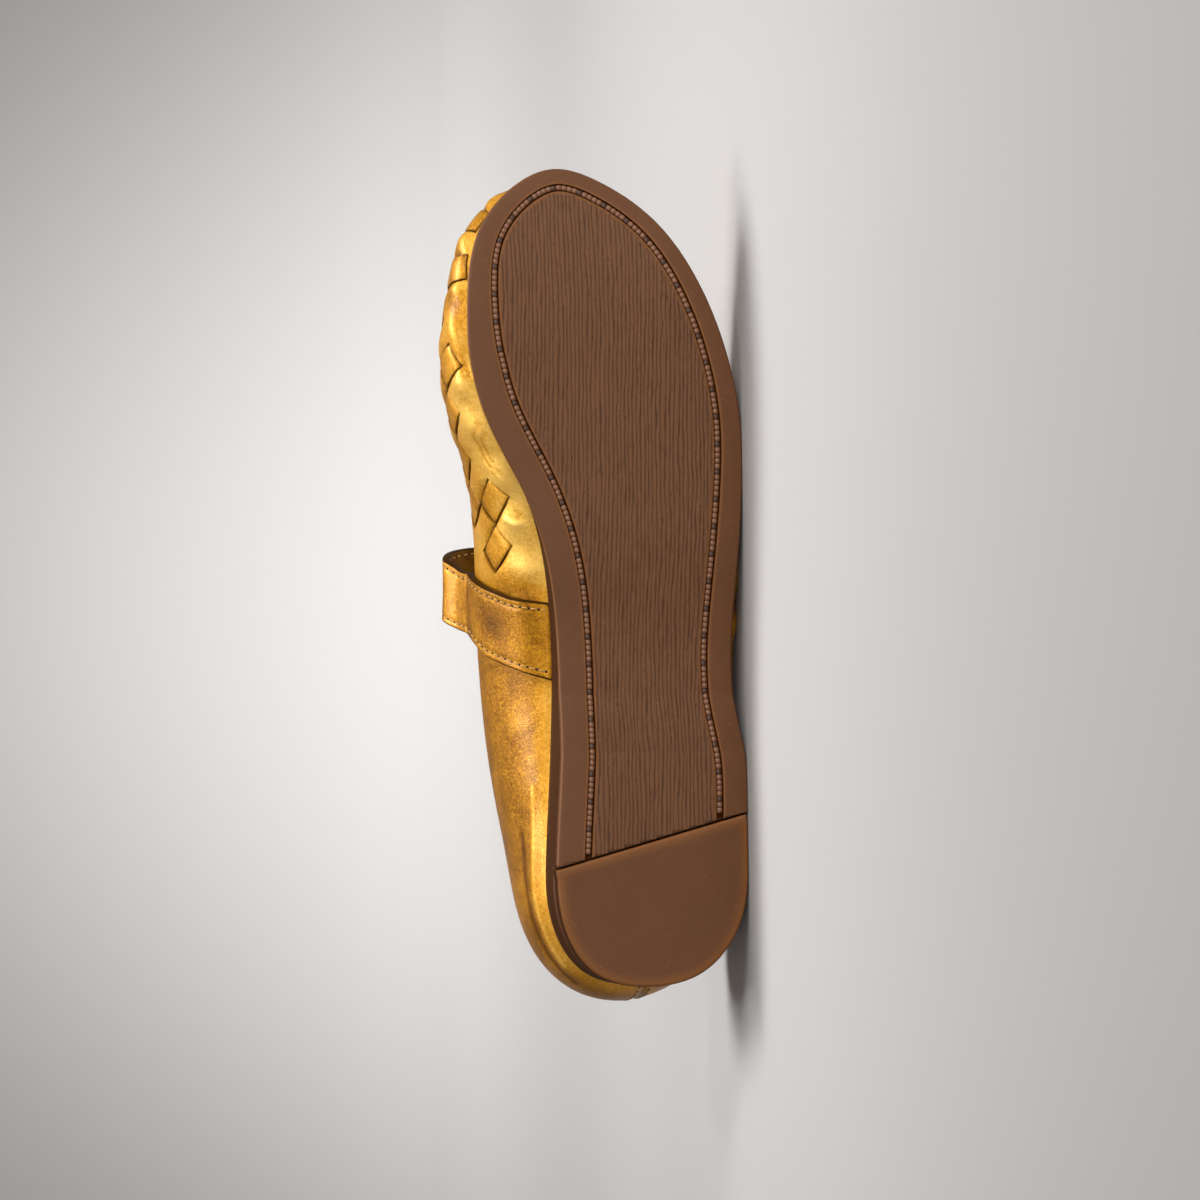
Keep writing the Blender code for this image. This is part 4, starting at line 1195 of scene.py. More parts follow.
def weave_axes():
    """Middle of the best seen square on the pattern, and directions along and across its strip."""
    around = WEAVE_PLACE + np.array((0.0, 1.0, -1.0, 0.0, 0.0))
    above = WEAVE_ABOVE_FEATHER + np.array((0.0, 0.0, 0.0, 1.0, -1.0))
    middle, ahead, behind, higher, lower = on_pattern(around, wall_length(around) - above)
    run = unit(ahead - behind) * math.cos(WEAVE_TURN) + unit(higher - lower) * math.sin(WEAVE_TURN)
    run = unit(run)
    across = np.array((-run[1], run[0]))
    return middle, run, across * np.sign(across @ (higher - lower))


WEAVE_MIDDLE, ALONG_STRIP, ACROSS_STRIP = weave_axes()


def beside_strips(along, across):
    """Pattern points at distances along and across the strips from the best seen square."""
    return WEAVE_MIDDLE + np.outer(along, ALONG_STRIP) + np.outer(across, ACROSS_STRIP)


def vamp_share(place, y):
    """1 on the vamp, 0 on the quarters."""
    back = np.where(place < TOE_PLACE, VAMP_BACK_INNER, VAMP_BACK_OUTER)
    return ease((y - back) / VAMP_EASE + 0.5)


def woven_squares():
    """Squares of the pattern, by number along and across the strips, in which a strip shows."""
    numbers = np.arange(-SQUARES, SQUARES)
    one, two = (grid.ravel() for grid in np.meshgrid(numbers, numbers, indexing="ij"))
    place, down = from_pattern(beside_strips(one * STRIP_RUN, two * STRIP_WIDTH))
    sound = ~np.isnan(place)
    place = np.nan_to_num(place)
    down = np.nan_to_num(down)
    y = wall(place, down)[:, 1]
    above = wall_length(place) - down
    start, end = WEAVE_TOE
    at_toe = ease((place - start) / WEAVE_TOE_EASE) * ease((end - place) / WEAVE_TOE_EASE)
    margin = WEAVE_FEATHER_MARGIN + (WEAVE_TOE_MARGIN - WEAVE_FEATHER_MARGIN) * at_toe
    inside = (down > WEAVE_COLLAR_MARGIN) & (above > margin) & (vamp_share(place, y) > 0.5)
    chosen = sound & inside & ((one + two) % 2 == 0)
    return chosen.reshape(2 * SQUARES, 2 * SQUARES)


WOVEN = woven_squares()


def is_woven(one, two):
    limit = 2 * SQUARES - 1
    return WOVEN[np.clip(one + SQUARES, 0, limit), np.clip(two + SQUARES, 0, limit)]


def square_of(pattern):
    """Numbers of the squares that pattern points are in, and their places there from -1 to 1."""
    away = pattern - WEAVE_MIDDLE
    p = away @ ALONG_STRIP / STRIP_RUN
    q = away @ ACROSS_STRIP / STRIP_WIDTH
    one = np.round(p).astype(int)
    two = np.round(q).astype(int)
    return one, two, 2.0 * (p - one), 2.0 * (q - two)


def weave(pattern, level):
    """Rise of the woven strips and of the slit sheet around them, and their burnish with painted shade."""
    one, two, p, q = square_of(pattern)
    strip = is_woven(one, two)
    to_end = np.abs(p)
    to_side = np.abs(q)
    rise = STRIP_TOP - STRIP_TUCK * to_end ** STRIP_TUCK_POWER
    rise -= STRIP_SIDE_FALL * to_side ** STRIP_SIDE_POWER
    # Burnish of the strips, with painted shade towards their ends and sides.
    burnish_and_painted_light = STRIP_BURNISH + STRIP_END_SHADE * to_end ** 4 + STRIP_SIDE_SHADE * to_side ** 6
    between = (one + two) % 2 == 1
    sheet = level.copy()
    painted_shade = np.zeros(len(pattern))
    crown = np.zeros(len(pattern))
    for sign in (-1, 1):
        under = between & is_woven(one, two + sign)
        dip = np.clip((sign * q - SHEET_DIP_START) / (1.0 - SHEET_DIP_START), 0.0, 1.0) ** 2 * under
        for side in (-1, 1):
            free = ~is_woven(one + side, two)
            rest = 1.0 - ease((side * p - SHEET_DIP_START) / (1.0 - SHEET_DIP_START))
            dip *= np.where(free, rest, 1.0)
        over = between & is_woven(one + sign, two)
        lip = np.clip(sign * p, 0.0, 1.0) ** 3 * over * (1.0 - to_side ** 4)
        sheet += SHEET_LIP * lip - SHEET_DIP * dip
        # Painted shade in the sheet's dips and on its lip beside the slits.
        painted_shade += SHEET_DIP_SHADE * dip ** 2 + SHEET_LIP_SHADE * lip ** 4
        crown += SHEET_CROWN_SHARE * under + SHEET_CROWN_SHARE * over
    sheet += crown * SHEET_CROWN * (1.0 - p * p) * (1.0 - q * q)
    return np.where(strip, rise, sheet), np.where(strip, burnish_and_painted_light, painted_shade), strip


def smooth_noise(points, size, seed):
    shift = Vector((seed, 2.0 * seed, 3.0 * seed))
    return np.array([noise.noise(Vector(point) / size + shift) for point in points])


def from_seam(place):
    """Distance around the edge from the nearest seam."""
    away = np.abs(place[:, None] - np.array(SEAM_PLACES))
    return np.minimum(away, GIRTH - away).min(axis=1)


def skin_points():
    """Net of places on the wall, their pattern points, and the links that keep the slits crisp."""
    places = places_around(UPPER_RING_POINTS)
    nets = [(places, np.full(len(places), RIM_RADIUS)), (places, wall_length(places))]
    lines = []
    for size, count in ((STRIP_RUN, FINE_RUN_COLUMNS), (STRIP_WIDTH, FINE_WIDTH_COLUMNS)):
        half = size / 2
        inner = np.linspace(-half + FINE_INSET, half - FINE_INSET, count)
        edges = half - np.array((0.0, SLIT_EDGE, SLIT_SHOULDER))
        lines.append(np.sort(np.concatenate((inner, edges, -edges))))
    spots = set()
    fine = set()
    links = set()
    for one, two in np.argwhere(WOVEN) - SQUARES:
        for square in ((one, two), (one + 1, two), (one - 1, two), (one, two + 1), (one, two - 1)):
            if square in fine:
                continue
            fine.add(square)
            along = [round(square[0] * STRIP_RUN + p, FINE_DIGITS) for p in lines[0]]
            across = [round(square[1] * STRIP_WIDTH + q, FINE_DIGITS) for q in lines[1]]
            rows = [[(p, q) for q in across] for p in along]
            for row in rows:
                spots.update(row)
            for size, offsets, table in zip((STRIP_RUN, STRIP_WIDTH), lines, (rows, list(zip(*rows)))):
                for offset, row in zip(offsets, table):
                    if abs(offset) > size / 2 - SLIT_SHOULDER - PATTERN_TOLERANCE:
                        links.update(zip(row[:-1], row[1:]))
    steps = np.array(sorted(spots))
    woven = beside_strips(steps[:, 0], steps[:, 1])
    place, down = from_pattern(woven)
    keep = ~np.isnan(place)
    keep &= np.nan_to_num(down) > RIM_RADIUS + RING_CLEARANCE
    keep &= np.nan_to_num(down) < wall_length(np.nan_to_num(place)) - RING_CLEARANCE
    nets.append((place[keep], down[keep]))
    woven = woven[keep]
    first = 2 * UPPER_RING_POINTS
    numbers = {tuple(step): first + number for number, step in enumerate(steps[keep].tolist())}
    links = [(numbers[a], numbers[b]) for a, b in sorted(links) if a in numbers and b in numbers]
    for step, is_fine in ((NET_STEP, False), (FINE_NET_STEP, True)):
        columns = np.arange(0.0, GIRTH - step / 2, step)
        rows = np.arange(*NET_RISES, step)
        place, above = (grid.ravel() for grid in np.meshgrid(columns, rows))
        low, high = FINE_NET_PLACES
        by_eye = (place > low) & (place < high) & (above < FINE_NET_REACH)
        by_eye |= from_seam(place) < SEAM_NET_REACH
        down = wall_length(place) - above
        on_vamp = (place > PATTERN_PLACES[0]) & (place < PATTERN_PLACES[1])
        one, two, _, _ = square_of(on_pattern(place, np.maximum(down, 0.0)))
        taken = on_vamp & np.array([square in fine for square in zip(one.tolist(), two.tolist())])
        clear = (down > RIM_RADIUS + RING_CLEARANCE) & (above > RING_CLEARANCE)
        keep = (by_eye == is_fine) & ~taken & clear
        nets.append((place[keep], down[keep]))
    place, down = (np.concatenate(column) for column in zip(*nets))
    pattern = on_pattern(place, down)
    pattern[first:first + len(woven)] = woven
    return place, down, pattern, links


def crease_rise(place, above):
    """Rise of the listed creases: soft troughs and ridges that fade at their ends."""
    spots = np.column_stack((place, above))
    total = np.zeros(len(place))
    for width, rise, run in CREASES:
        run = np.array(run)
        best = np.full(len(place), np.inf)
        for start, end in zip(run[:-1], run[1:]):
            along = end - start
            share = np.clip((spots - start) @ along / (along @ along), 0.0, 1.0)
            best = np.minimum(best, np.linalg.norm(spots - start - share[:, None] * along, axis=1))
        total += rise * np.exp(-(best / width) ** 2)
    return total


def skin_relief(place, down, pattern, points):
    """Rise of the upper's outer face, its burnish with painted shade and highlights, and its slits' painted
    shade.
    """
    above = wall_length(place) - down
    on_vamp = vamp_share(place, points[:, 1])
    level = SHEET_LEVEL * ease(above / SHEET_EASE_FEATHER) * ease(down / SHEET_EASE_COLLAR) * on_vamp
    around = [weave(pattern + p * ALONG_STRIP + q * ACROSS_STRIP, level)
              for p in (-SLIT_PROBE, SLIT_PROBE) for q in (-SLIT_PROBE, SLIT_PROBE)]
    rises, burns, strips = (np.array(column) for column in zip(*around))
    patterned = (place > PATTERN_PLACES[0]) & (place < PATTERN_PLACES[1])
    strips &= patterned
    slit = strips.any(axis=0) & ~strips.all(axis=0)
    rise = np.where(slit, rises.min(axis=0) - SLIT_DEPTH, rises.mean(axis=0))
    rise = np.where(patterned, rise, level)
    burnish_and_painted_light = np.where(patterned, burns.mean(axis=0), 0.0)
    beside = [weave(pattern + p * ALONG_STRIP + q * ACROSS_STRIP, level)[2] & patterned
              for p, q in ((-SLIT_HALO, 0.0), (SLIT_HALO, 0.0), (0.0, -SLIT_HALO), (0.0, SLIT_HALO))]
    near_slit = np.any(beside, axis=0) & ~np.all(beside, axis=0)
    # Painted shade in the slits, and fainter around them.
    painted_shade = np.where(slit, 1.0, SLIT_HALO_SHADE * near_slit)
    # Painted shade on the quarters, which turn from the light.
    burnish_and_painted_light += QUARTER_SHADE * (1.0 - on_vamp) * ease(above / QUARTER_SHADE_RISE)
    # Painted highlight on the vamp's margin near the feather, at the ball.
    margin_highlight = 1.0 - ease((above - MARGIN_HIGHLIGHT_REACH / 2) / MARGIN_HIGHLIGHT_REACH)
    at_ball = ease((MARGIN_HIGHLIGHT_END - place) / MARGIN_HIGHLIGHT_EASE)
    burnish_and_painted_light -= MARGIN_HIGHLIGHT * on_vamp * margin_highlight * at_ball
    pucker = -np.cos(2.0 * math.pi * (place - PUCKER_VALLEY) / PUCKER_LENGTH)
    hem = ease(above / PUCKER_PEAK) * (1.0 - ease((above - PUCKER_PEAK) / (PUCKER_REACH - PUCKER_PEAK)))
    puckered = hem * on_vamp * ~strips.any(axis=0)
    rise = rise + PUCKER_RISE * pucker * puckered
    # Painted shade in the puckers' valleys, less at the ball.
    pucker_shade = PUCKER_SHADE * (1.0 + (PUCKER_SHADE_AT_BALL - 1.0) * at_ball)
    burnish_and_painted_light += pucker_shade * (0.5 - 0.5 * pucker) * puckered
    sag = SAG_RISE * smooth_noise(points, SAG_SIZE, SAG_SEED)
    rise += sag * ease(above / SAG_EASE) * ease(down / SAG_EASE)
    creased = crease_rise(place, above)
    rise += creased
    # Painted shade in the creases' troughs and painted highlight on their ridges.
    burnish_and_painted_light -= CREASE_SHADE_AND_HIGHLIGHT * creased
    seam = np.exp(-(from_seam(place) / SEAM_WIDTH) ** 2)
    rise -= SEAM_DEPTH * seam
    # Painted shade along the seams' grooves.
    painted_shade = np.maximum(painted_shade, SEAM_SHADE * seam)
    return rise, burnish_and_painted_light, painted_shade


def glazed_leather(name):
    """Glazed calf, dyed gold and burnished by hand: mottled, finely wrinkled, with painted brown shade in
    its folds.
    """
    material, tree, shader = new_material(name)
    spot = node(tree, "ShaderNodeAttribute", output="Vector", attribute_name="shoe")
    burnish_and_painted_light = node(tree, "ShaderNodeAttribute", output="Fac", attribute_name="burnish_and_painted_light")
    slit = node(tree, "ShaderNodeAttribute", output="Fac", attribute_name="slit")
    cloud, fleck, pore, bend = (
        node(tree, "ShaderNodeTexNoise", {"Vector": spot, "Scale": 1 / size, "Detail": detail,
                                          "Roughness": roughness, "Distortion": distortion})
        for size, detail, roughness, distortion in LEATHER_NOISES.values())
    bend = node(tree, "ShaderNodeMath", {0: bend, 1: 0.5}, operation="SUBTRACT")
    bend = node(tree, "ShaderNodeMath", {0: bend}, operation="ABSOLUTE")
    wrinkle = node(tree, "ShaderNodeMapRange", {"Value": bend, "From Max": WRINKLE_WIDTH})
    # Burnish, painted shade and painted highlight darken or pale the tone through one attribute.
    tone = LEATHER_TONE
    for share, amount in ((cloud, CLOUD_TONE), (fleck, FLECK_TONE), (wrinkle, WRINKLE_TONE),
                          (burnish_and_painted_light, BURNISH_AND_PAINTED_LIGHT_TONE)):
        tone = node(tree, "ShaderNodeMath", {0: share, 1: amount, 2: tone}, operation="MULTIPLY_ADD")
    ramp = node(tree, "ShaderNodeValToRGB", {"Fac": tone})
    stops = ramp.node.color_ramp.elements
    stops.remove(stops[1])
    stops[0].color = colour(BURNT_BROWN)
    for position, code in GOLD_STOPS:
        stops.new(position).color = colour(code)
    # The slit share paints near black: shade in the slits and seams and on the strap's inner face, and the
    # strap's painted edges.
    paint = node(tree, "ShaderNodeMix", {0: slit, MIX_FIRST: ramp, MIX_SECOND: colour(SHADE_AND_EDGE_PAINT_BLACK)},
                 output=MIX_RESULT, data_type="RGBA")
    gloss = node(tree, "ShaderNodeMapRange", {"Value": fleck, "From Min": 0.3, "From Max": 0.7,
                                             "To Min": LEATHER_GLOSS[0], "To Max": LEATHER_GLOSS[1]})
    height = node(tree, "ShaderNodeMath", {0: wrinkle, 1: WRINKLE_HEIGHT, 2: pore},
                  operation="MULTIPLY_ADD")
    bump = node(tree, "ShaderNodeBump", {"Height": height, "Strength": 0.5, "Distance": LEATHER_BUMP * MM})
    shine = {socket: node(tree, "ShaderNodeMath", {0: slit, 1: -amount, 2: amount},
                          operation="MULTIPLY_ADD")
             for socket, amount in LEATHER_SHINE.items()}
    fill_inputs(tree, shader, {"Base Color": paint, "Roughness": gloss, "Normal": bump, **shine})
    shader.inputs["Specular Tint"].default_value = colour(PALE_GOLD)
    shader.inputs["Coat Roughness"].default_value = 0.2
    return material


skin_place, skin_down, skin_pattern, skin_links = skin_points()
skin_flat = flat_place(skin_place, skin_down)
skin_base = wall(skin_place, skin_down)
skin_outwards = wall_normal(skin_place, skin_down)
skin_rise, skin_burnish_and_painted_light, skin_slit_shade = skin_relief(skin_place, skin_down, skin_pattern, skin_base)
skin = skin_base + skin_outwards * skin_rise[:, None]
floor_gap = to_world(skin)[:, 2] / MM
skin += np.outer(np.maximum(0.0, -floor_gap), TURN[2])

borders = [(step, (step + 1) % UPPER_RING_POINTS) for step in range(UPPER_RING_POINTS)]
borders += [(a + UPPER_RING_POINTS, b + UPPER_RING_POINTS) for a, b in borders]
flats = [Vector(flat) for flat in skin_flat]
triangles = np.array(delaunay_2d_cdt(flats, borders + skin_links, [], FILL_INSIDE, SKIN_TOLERANCE)[2])
middle_place, middle_down = wall_place(skin_flat[triangles].mean(axis=1))
inside_wall = (middle_down > RIM_RADIUS) & (middle_down < wall_length(middle_place))
upper_faces = triangles[inside_wall].tolist()

ring_places = places_around(UPPER_RING_POINTS)
ring_lengths = wall_length(ring_places)
collar = wall(ring_places, np.full(UPPER_RING_POINTS, RIM_RADIUS))
collar_outwards = wall_normal(ring_places, np.full(UPPER_RING_POINTS, RIM_RADIUS))
collar_upwards = unit(wall(ring_places, np.zeros(UPPER_RING_POINTS)) - collar)
inner_rings = []
for step in range(1, RIM_STEPS):
    angle = math.pi * step / RIM_STEPS
    inner_rings.append(collar + collar_outwards * RIM_RADIUS * (math.cos(angle) - 1.0)
                       + collar_upwards * RIM_RADIUS * math.sin(angle))
for step in range(LINING_ROWS + 1):
    down = RIM_RADIUS + (ring_lengths - RIM_RADIUS) * step / LINING_ROWS
    inner_rings.append(wall(ring_places, down) - wall_normal(ring_places, down) * WALL_THICKNESS)
first_inner = len(skin)
upper_points = np.concatenate([skin] + inner_rings)
rim_faces = band(0, first_inner, UPPER_RING_POINTS)
inner_faces = ring_bands(first_inner, len(inner_rings), UPPER_RING_POINTS)
rim_faces += inner_faces[:UPPER_RING_POINTS * (RIM_STEPS - 1)]
lining_faces = inner_faces[UPPER_RING_POINTS * (RIM_STEPS - 1):]
last_inner = first_inner + (len(inner_rings) - 1) * UPPER_RING_POINTS
feather_faces = band(last_inner, UPPER_RING_POINTS, UPPER_RING_POINTS)
outer_count = len(upper_faces) + len(rim_faces)
extra = len(upper_points) - len(skin)
upper = add_piece("upper_leather", upper_points, upper_faces + rim_faces + lining_faces + feather_faces,
                  {"burnish_and_painted_light": np.concatenate((skin_burnish_and_painted_light, np.zeros(extra))),
                   "slit": np.concatenate((skin_slit_shade, np.zeros(extra)))})
gold_leather = glazed_leather("glazed_gold_calf")
upper.data.materials.append(gold_leather)
lining = plain_finish("lining_leather", LINING_TAN, roughness=0.6, grain_size=0.8, grain_depth=0.08)
upper.data.materials.append(lining)
surface = np.zeros(len(upper.data.polygons), np.int32)
surface[outer_count:] = 1
upper.data.polygons.foreach_set("material_index", surface)
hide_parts("upper")
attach(upper, "root")

# Strap
# Two layers of the same calf with brown painted edges, sewn together near both edges.  It starts
# at the inner feather, lies up the wall, loops over the instep and, unfastened, falls to the floor.
# Its inner face is painted dark brown, partly as a brown backing and partly as painted shade inside
# the loop.
STRAP_WIDTH = 18.5
STRAP_THICKNESS = 2.4
STRAP_CLEARANCE = 0.6
STRAP_START = 0.2
STRAP_FOOT_SHARE = 0.35
SOLE_GAP = 0.2
STRAP_TOP_SHARE = 0.94
STRAP_BLEND = 9.0
STRAP_EDGES = {
    # share of the way from feather to collar: back y, front y
    0.00: (92.0, 115.8),
    0.33: (95.5, 117.0),
    0.67: (99.0, 120.0),
    1.00: (105.0, 123.6),
}
STRAP_ROUTE = {
    # name:    rise above the floor, y, z
    "leaving": (82.5, 116.5, 52.0),
    "fold":    (86.0, 119.5, 59.0),
    "return":  (82.0, 122.5, 67.5),
    "crown":   (69.0, 123.5, 73.5),
    "middle":  (50.0, 120.0, 77.0),
    "hang":    (30.0, 114.0, 78.5),
    "low":     (14.0, 108.5, 81.5),
    "bend":    (5.0, 104.0, 88.5),
    "floor":   (2.0, 100.0, 98.5),
    "tip":     (1.7, 95.5, 112.0),
}
STRAP_WALL_ROWS = 46
STRAP_FREE_STEPS = 14
STRAP_TURN_SEGMENTS = 3.0
STRAP_JOIN_SEGMENTS = 1.0 / 3.0
STRAP_EDGE_ROUND = 0.7
STRAP_FACE_COLUMNS = 26
STITCH_INSET = 1.9
STITCH_TROUGH = 0.22
STITCH_TROUGH_WIDTH = 0.55
EDGE_ANGLES = np.linspace(-math.pi / 2, math.pi / 2, 9)[1:-1]
EDGE_GROOVE = 0.16
EDGE_GROOVE_TURN = 0.3
EDGE_PAINT = 0.95
INNER_FACE_SHADE_AND_BACKING = 0.72
END_PAINT = 0.8
STRAP_END_ROUND = 0.6
STRAP_END_STEPS = 3
STRAP_END_SHRINK = 0.1
INNER_SAMPLES = 2000
WIDTH_SAMPLES = 5
STRAP_BURNISH = 0.36
STRAP_WEAR = (
    # amount, place and reach along as shares of the wall's part, place and reach across
    (0.62, 0.52, 0.16, 0.05, 0.55),
    (0.3, 0.93, 0.07, 0.0, math.inf),
)


def strap_outline():
    """Section of the strap: place across, height from 0 to its thickness, share of edge paint and inner
    painted shade.
    """
    half = STRAP_WIDTH / 2
    face = np.linspace(-half + STRAP_EDGE_ROUND, half - STRAP_EDGE_ROUND, STRAP_FACE_COLUMNS)
    trough = STITCH_TROUGH * np.exp(-((np.abs(face) - half + STITCH_INSET) / STITCH_TROUGH_WIDTH) ** 2)
    middle = STRAP_THICKNESS / 2
    rows = []
    # The inner face is painted dark, partly a brown backing and partly painted shade inside the loop.
    for turn, paint in ((1.0, INNER_FACE_SHADE_AND_BACKING), (-1.0, 0.0)):
        for across, dent in zip(face, trough):
            rows.append((turn * across, middle - turn * (middle - dent), paint))
        for angle in EDGE_ANGLES:
            groove = EDGE_GROOVE * math.exp(-(angle / EDGE_GROOVE_TURN) ** 2)
            out = half - STRAP_EDGE_ROUND + STRAP_EDGE_ROUND * math.cos(angle) - groove
            rows.append((turn * out, middle + turn * middle * math.sin(angle), EDGE_PAINT))
    return np.array(rows)


INNER_PLACES = np.linspace(0.0, TOE_PLACE, INNER_SAMPLES)
INNER_YS = section(INNER_PLACES)[:, 1]


def strap_on_wall(share, across, lift):
    """Points of the strap where it lies against the wall."""
    back, front = at_share(STRAP_EDGES, share)
    place = np.interp(back + (front - back) * (across / STRAP_WIDTH + 0.5), INNER_YS, INNER_PLACES)
    length = wall_length(place)
    rise = STRAP_START + (length - STRAP_START) * share * STRAP_TOP_SHARE
    down = length - rise
    thinned = STRAP_FOOT_SHARE + (1.0 - STRAP_FOOT_SHARE) * ease(rise / STRAP_BLEND)
    away = (STRAP_CLEARANCE + lift) * thinned
    points = wall(place, down) + wall_normal(place, down) * away[:, None]
    points[:, 2] = np.maximum(points[:, 2], sole_top(points[:, 1]) + SOLE_GAP)
    return points


def above_floor(rise, y, z):
    """Point of the standing shoe at a height above the floor on which it lies."""
    level = heel_at[2] / MM + (np.array((0.0, y, z)) - HEEL_SPOT) @ TURN[2]
    return np.array(((rise - level) / TURN[2][0], y, z))


def curve_through(points, steps):
    """Points and directions along a smooth curve through a route, and how far they are in segments."""
    ends = [2 * points[0] - points[1]] + points + [2 * points[-1] - points[-2]]
    found = []
    for index in range(1, len(points)):
        a, b, c, d = ends[index - 1:index + 3]
        for step in range(steps):
            t = step / steps
            spot = b + (c - a) * (t / 2) + (2 * a - 5 * b + 4 * c - d) * (t * t / 2)
            spot = spot + (3 * b - a - 3 * c + d) * (t ** 3 / 2)
            slope = (c - a) / 2 + (2 * a - 5 * b + 4 * c - d) * t + (3 * b - a - 3 * c + d) * (1.5 * t * t)
            found.append((spot, unit(slope), index - 1 + t))
    found.append((points[-1], unit(points[-1] - points[-2]), len(points) - 1.0))
    return found


def strap_free(middle, along, passed, across, lift):
    """Points of the free strap, level at the collar and then turned square to its middle line."""
    level = np.array((0.0, 1.0, 0.0))
    square = unit(level - along * (level @ along))
    turned = ease((passed - STRAP_JOIN_SEGMENTS) / STRAP_TURN_SEGMENTS)
    width = unit(level + (square - level) * turned)
    normal = unit(np.cross(width, along))
    return middle + across[:, None] * width + (lift - STRAP_THICKNESS / 2)[:, None] * normal


def strap_rows(across, lift):
    """Lines of points along the whole strap for each place across its section."""
    rows = [strap_on_wall(share, across, lift) for share in np.linspace(0.0, 1.0, STRAP_WALL_ROWS)]
    samples = np.linspace(-0.5, 0.5, WIDTH_SAMPLES) * STRAP_WIDTH
    top = strap_on_wall(1.0, samples, np.full(WIDTH_SAMPLES, STRAP_THICKNESS / 2)).mean(axis=0)
    route = [top] + [above_floor(*row) for row in STRAP_ROUTE.values()]
    for middle, along, passed in curve_through(route, STRAP_FREE_STEPS)[1:]:
        free = strap_free(middle, along, passed, across, lift)
        held = rows[STRAP_WALL_ROWS - 1] + (middle - top)
        share = ease(passed / STRAP_JOIN_SEGMENTS)
        rows.append(held + (free - held) * share)
    return rows


outline = strap_outline()
strap_lines = strap_rows(outline[:, 0], outline[:, 1])
last_line = strap_lines[-1]
closing = last_line.mean(axis=0)
direction = unit(closing - strap_lines[-2].mean(axis=0))
for sine, cosine in quarter_turn(STRAP_END_STEPS)[1:]:
    inwards = STRAP_END_ROUND * (1.0 - cosine) / (STRAP_THICKNESS / 2)
    shrunk = (last_line - closing) * (1.0 - STRAP_END_SHRINK * inwards)
    strap_lines.append(closing + shrunk + direction * STRAP_END_ROUND * sine)
count = len(outline)
strap_points = np.concatenate(strap_lines)
strap_faces = ring_bands(0, len(strap_lines), count)
strap_faces += [list(range(count)), list(range(len(strap_points) - count, len(strap_points)))]
along = np.repeat(np.arange(len(strap_lines)) / STRAP_WALL_ROWS, count)
off_middle = np.tile(outline[:, 0], len(strap_lines)) / STRAP_WIDTH * 2.0
worn = np.full(len(strap_points), STRAP_BURNISH)
for amount, far, reach, aside, spread in STRAP_WEAR:
    worn += amount * np.exp(-((along - far) / reach) ** 2 - ((off_middle - aside) / spread) ** 2)
# Painted edges and end, and painted shade on the inner face.
edge_paint_and_inner_shade = np.tile(outline[:, 2], len(strap_lines))
edge_paint_and_inner_shade[-count * 2:] = END_PAINT
strap = add_piece("strap_leather", strap_points, strap_faces, {"burnish_and_painted_light": worn, "slit": edge_paint_and_inner_shade})
strap.data.materials.append(gold_leather)
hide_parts("strap")
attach(strap, "root")

# Seams
# Tan waxed thread, one stitch every 3 mm, sunk a little into the leather, with a near-black block
# of painted shade for the needle hole at each end of a stitch: along both edges of the strap on
# both of its faces, and down both sides of the back seam and of the seam on the outer side.
STITCH_SPACING = 3.0
STITCH_AND_HOLE = 2
STITCH_SIZE = (1.9, 0.58, 0.45)
HOLE_SIZE = (0.9, 0.85, 0.2)
THREAD_TAN = "#A3762F"
# Painted shade of the needle holes.
HOLE_SHADE_BROWN = "#0C0502"
STRAP_SEAM_START = 2
SEAM_HALF_GAP = 1.6
SEAM_END_GAP = 2.0

thread = plain_finish("waxed_thread", THREAD_TAN, roughness=0.55, grain_size=0.35, grain_depth=0.06)
hole = plain_finish("needle_hole_shade", HOLE_SHADE_BROWN, roughness=0.9, grain_size=0.5, grain_depth=0.02)
strap_seams = []
for across in (STITCH_INSET - STRAP_WIDTH / 2, STRAP_WIDTH / 2 - STITCH_INSET):
    for face, dent in ((0.0, STITCH_TROUGH), (STRAP_THICKNESS, -STITCH_TROUGH)):
        pair = strap_rows(np.array((across, across)), np.array((face + dent, STRAP_THICKNESS - face)))
        line = np.array([points[0] for points in pair[STRAP_SEAM_START:]])
        outwards = unit(line - np.array([points[1] for points in pair[STRAP_SEAM_START:]]))
        strap_seams.append((line, outwards))
strap_stitches = sewn_row("strap_stitches", strap_seams, STITCH_SPACING / 2, STITCH_AND_HOLE,
                          (STITCH_SIZE, thread), (HOLE_SIZE, hole))
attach(strap_stitches, "root")

skin_tree = BVHTree.FromPolygons(skin.tolist(), upper_faces)


def on_skin(place, down):
    """Row of points on the upper's outer face, with their outward directions."""
    spots = wall(place, down)
    outwards = wall_normal(place, down)
    found = [skin_tree.find_nearest(Vector(spot))[0] for spot in spots + outwards]
    return np.array(found), outwards


upper_seams = []
for seam in SEAM_PLACES:
    for gap in (-SEAM_HALF_GAP, SEAM_HALF_GAP):
        place = (seam + gap) % GIRTH
        depth = np.arange(SEAM_END_GAP, wall_length(np.array((place,)))[0] - SEAM_END_GAP, ROW_STEP)
        upper_seams.append(on_skin(np.full(len(depth), place), depth))
upper_stitches = sewn_row("upper_stitches", upper_seams, STITCH_SPACING / 2, STITCH_AND_HOLE,
                          (STITCH_SIZE, thread), (HOLE_SIZE, hole))
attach(upper_stitches, "root")

# Studio
# A sheet lies on the table and sweeps up behind the shoe; a painted fall-off of light makes it
# grey in front and darker towards its borders.  Soft lights stand by the toe, above and in front,
# a small one gives the gold its glints and a strip grades the sheet.  The camera looks square at
# the sole, a little from the inner side, rolled so that the toe points up.
PAPER_PALE = "#F0EDEB"
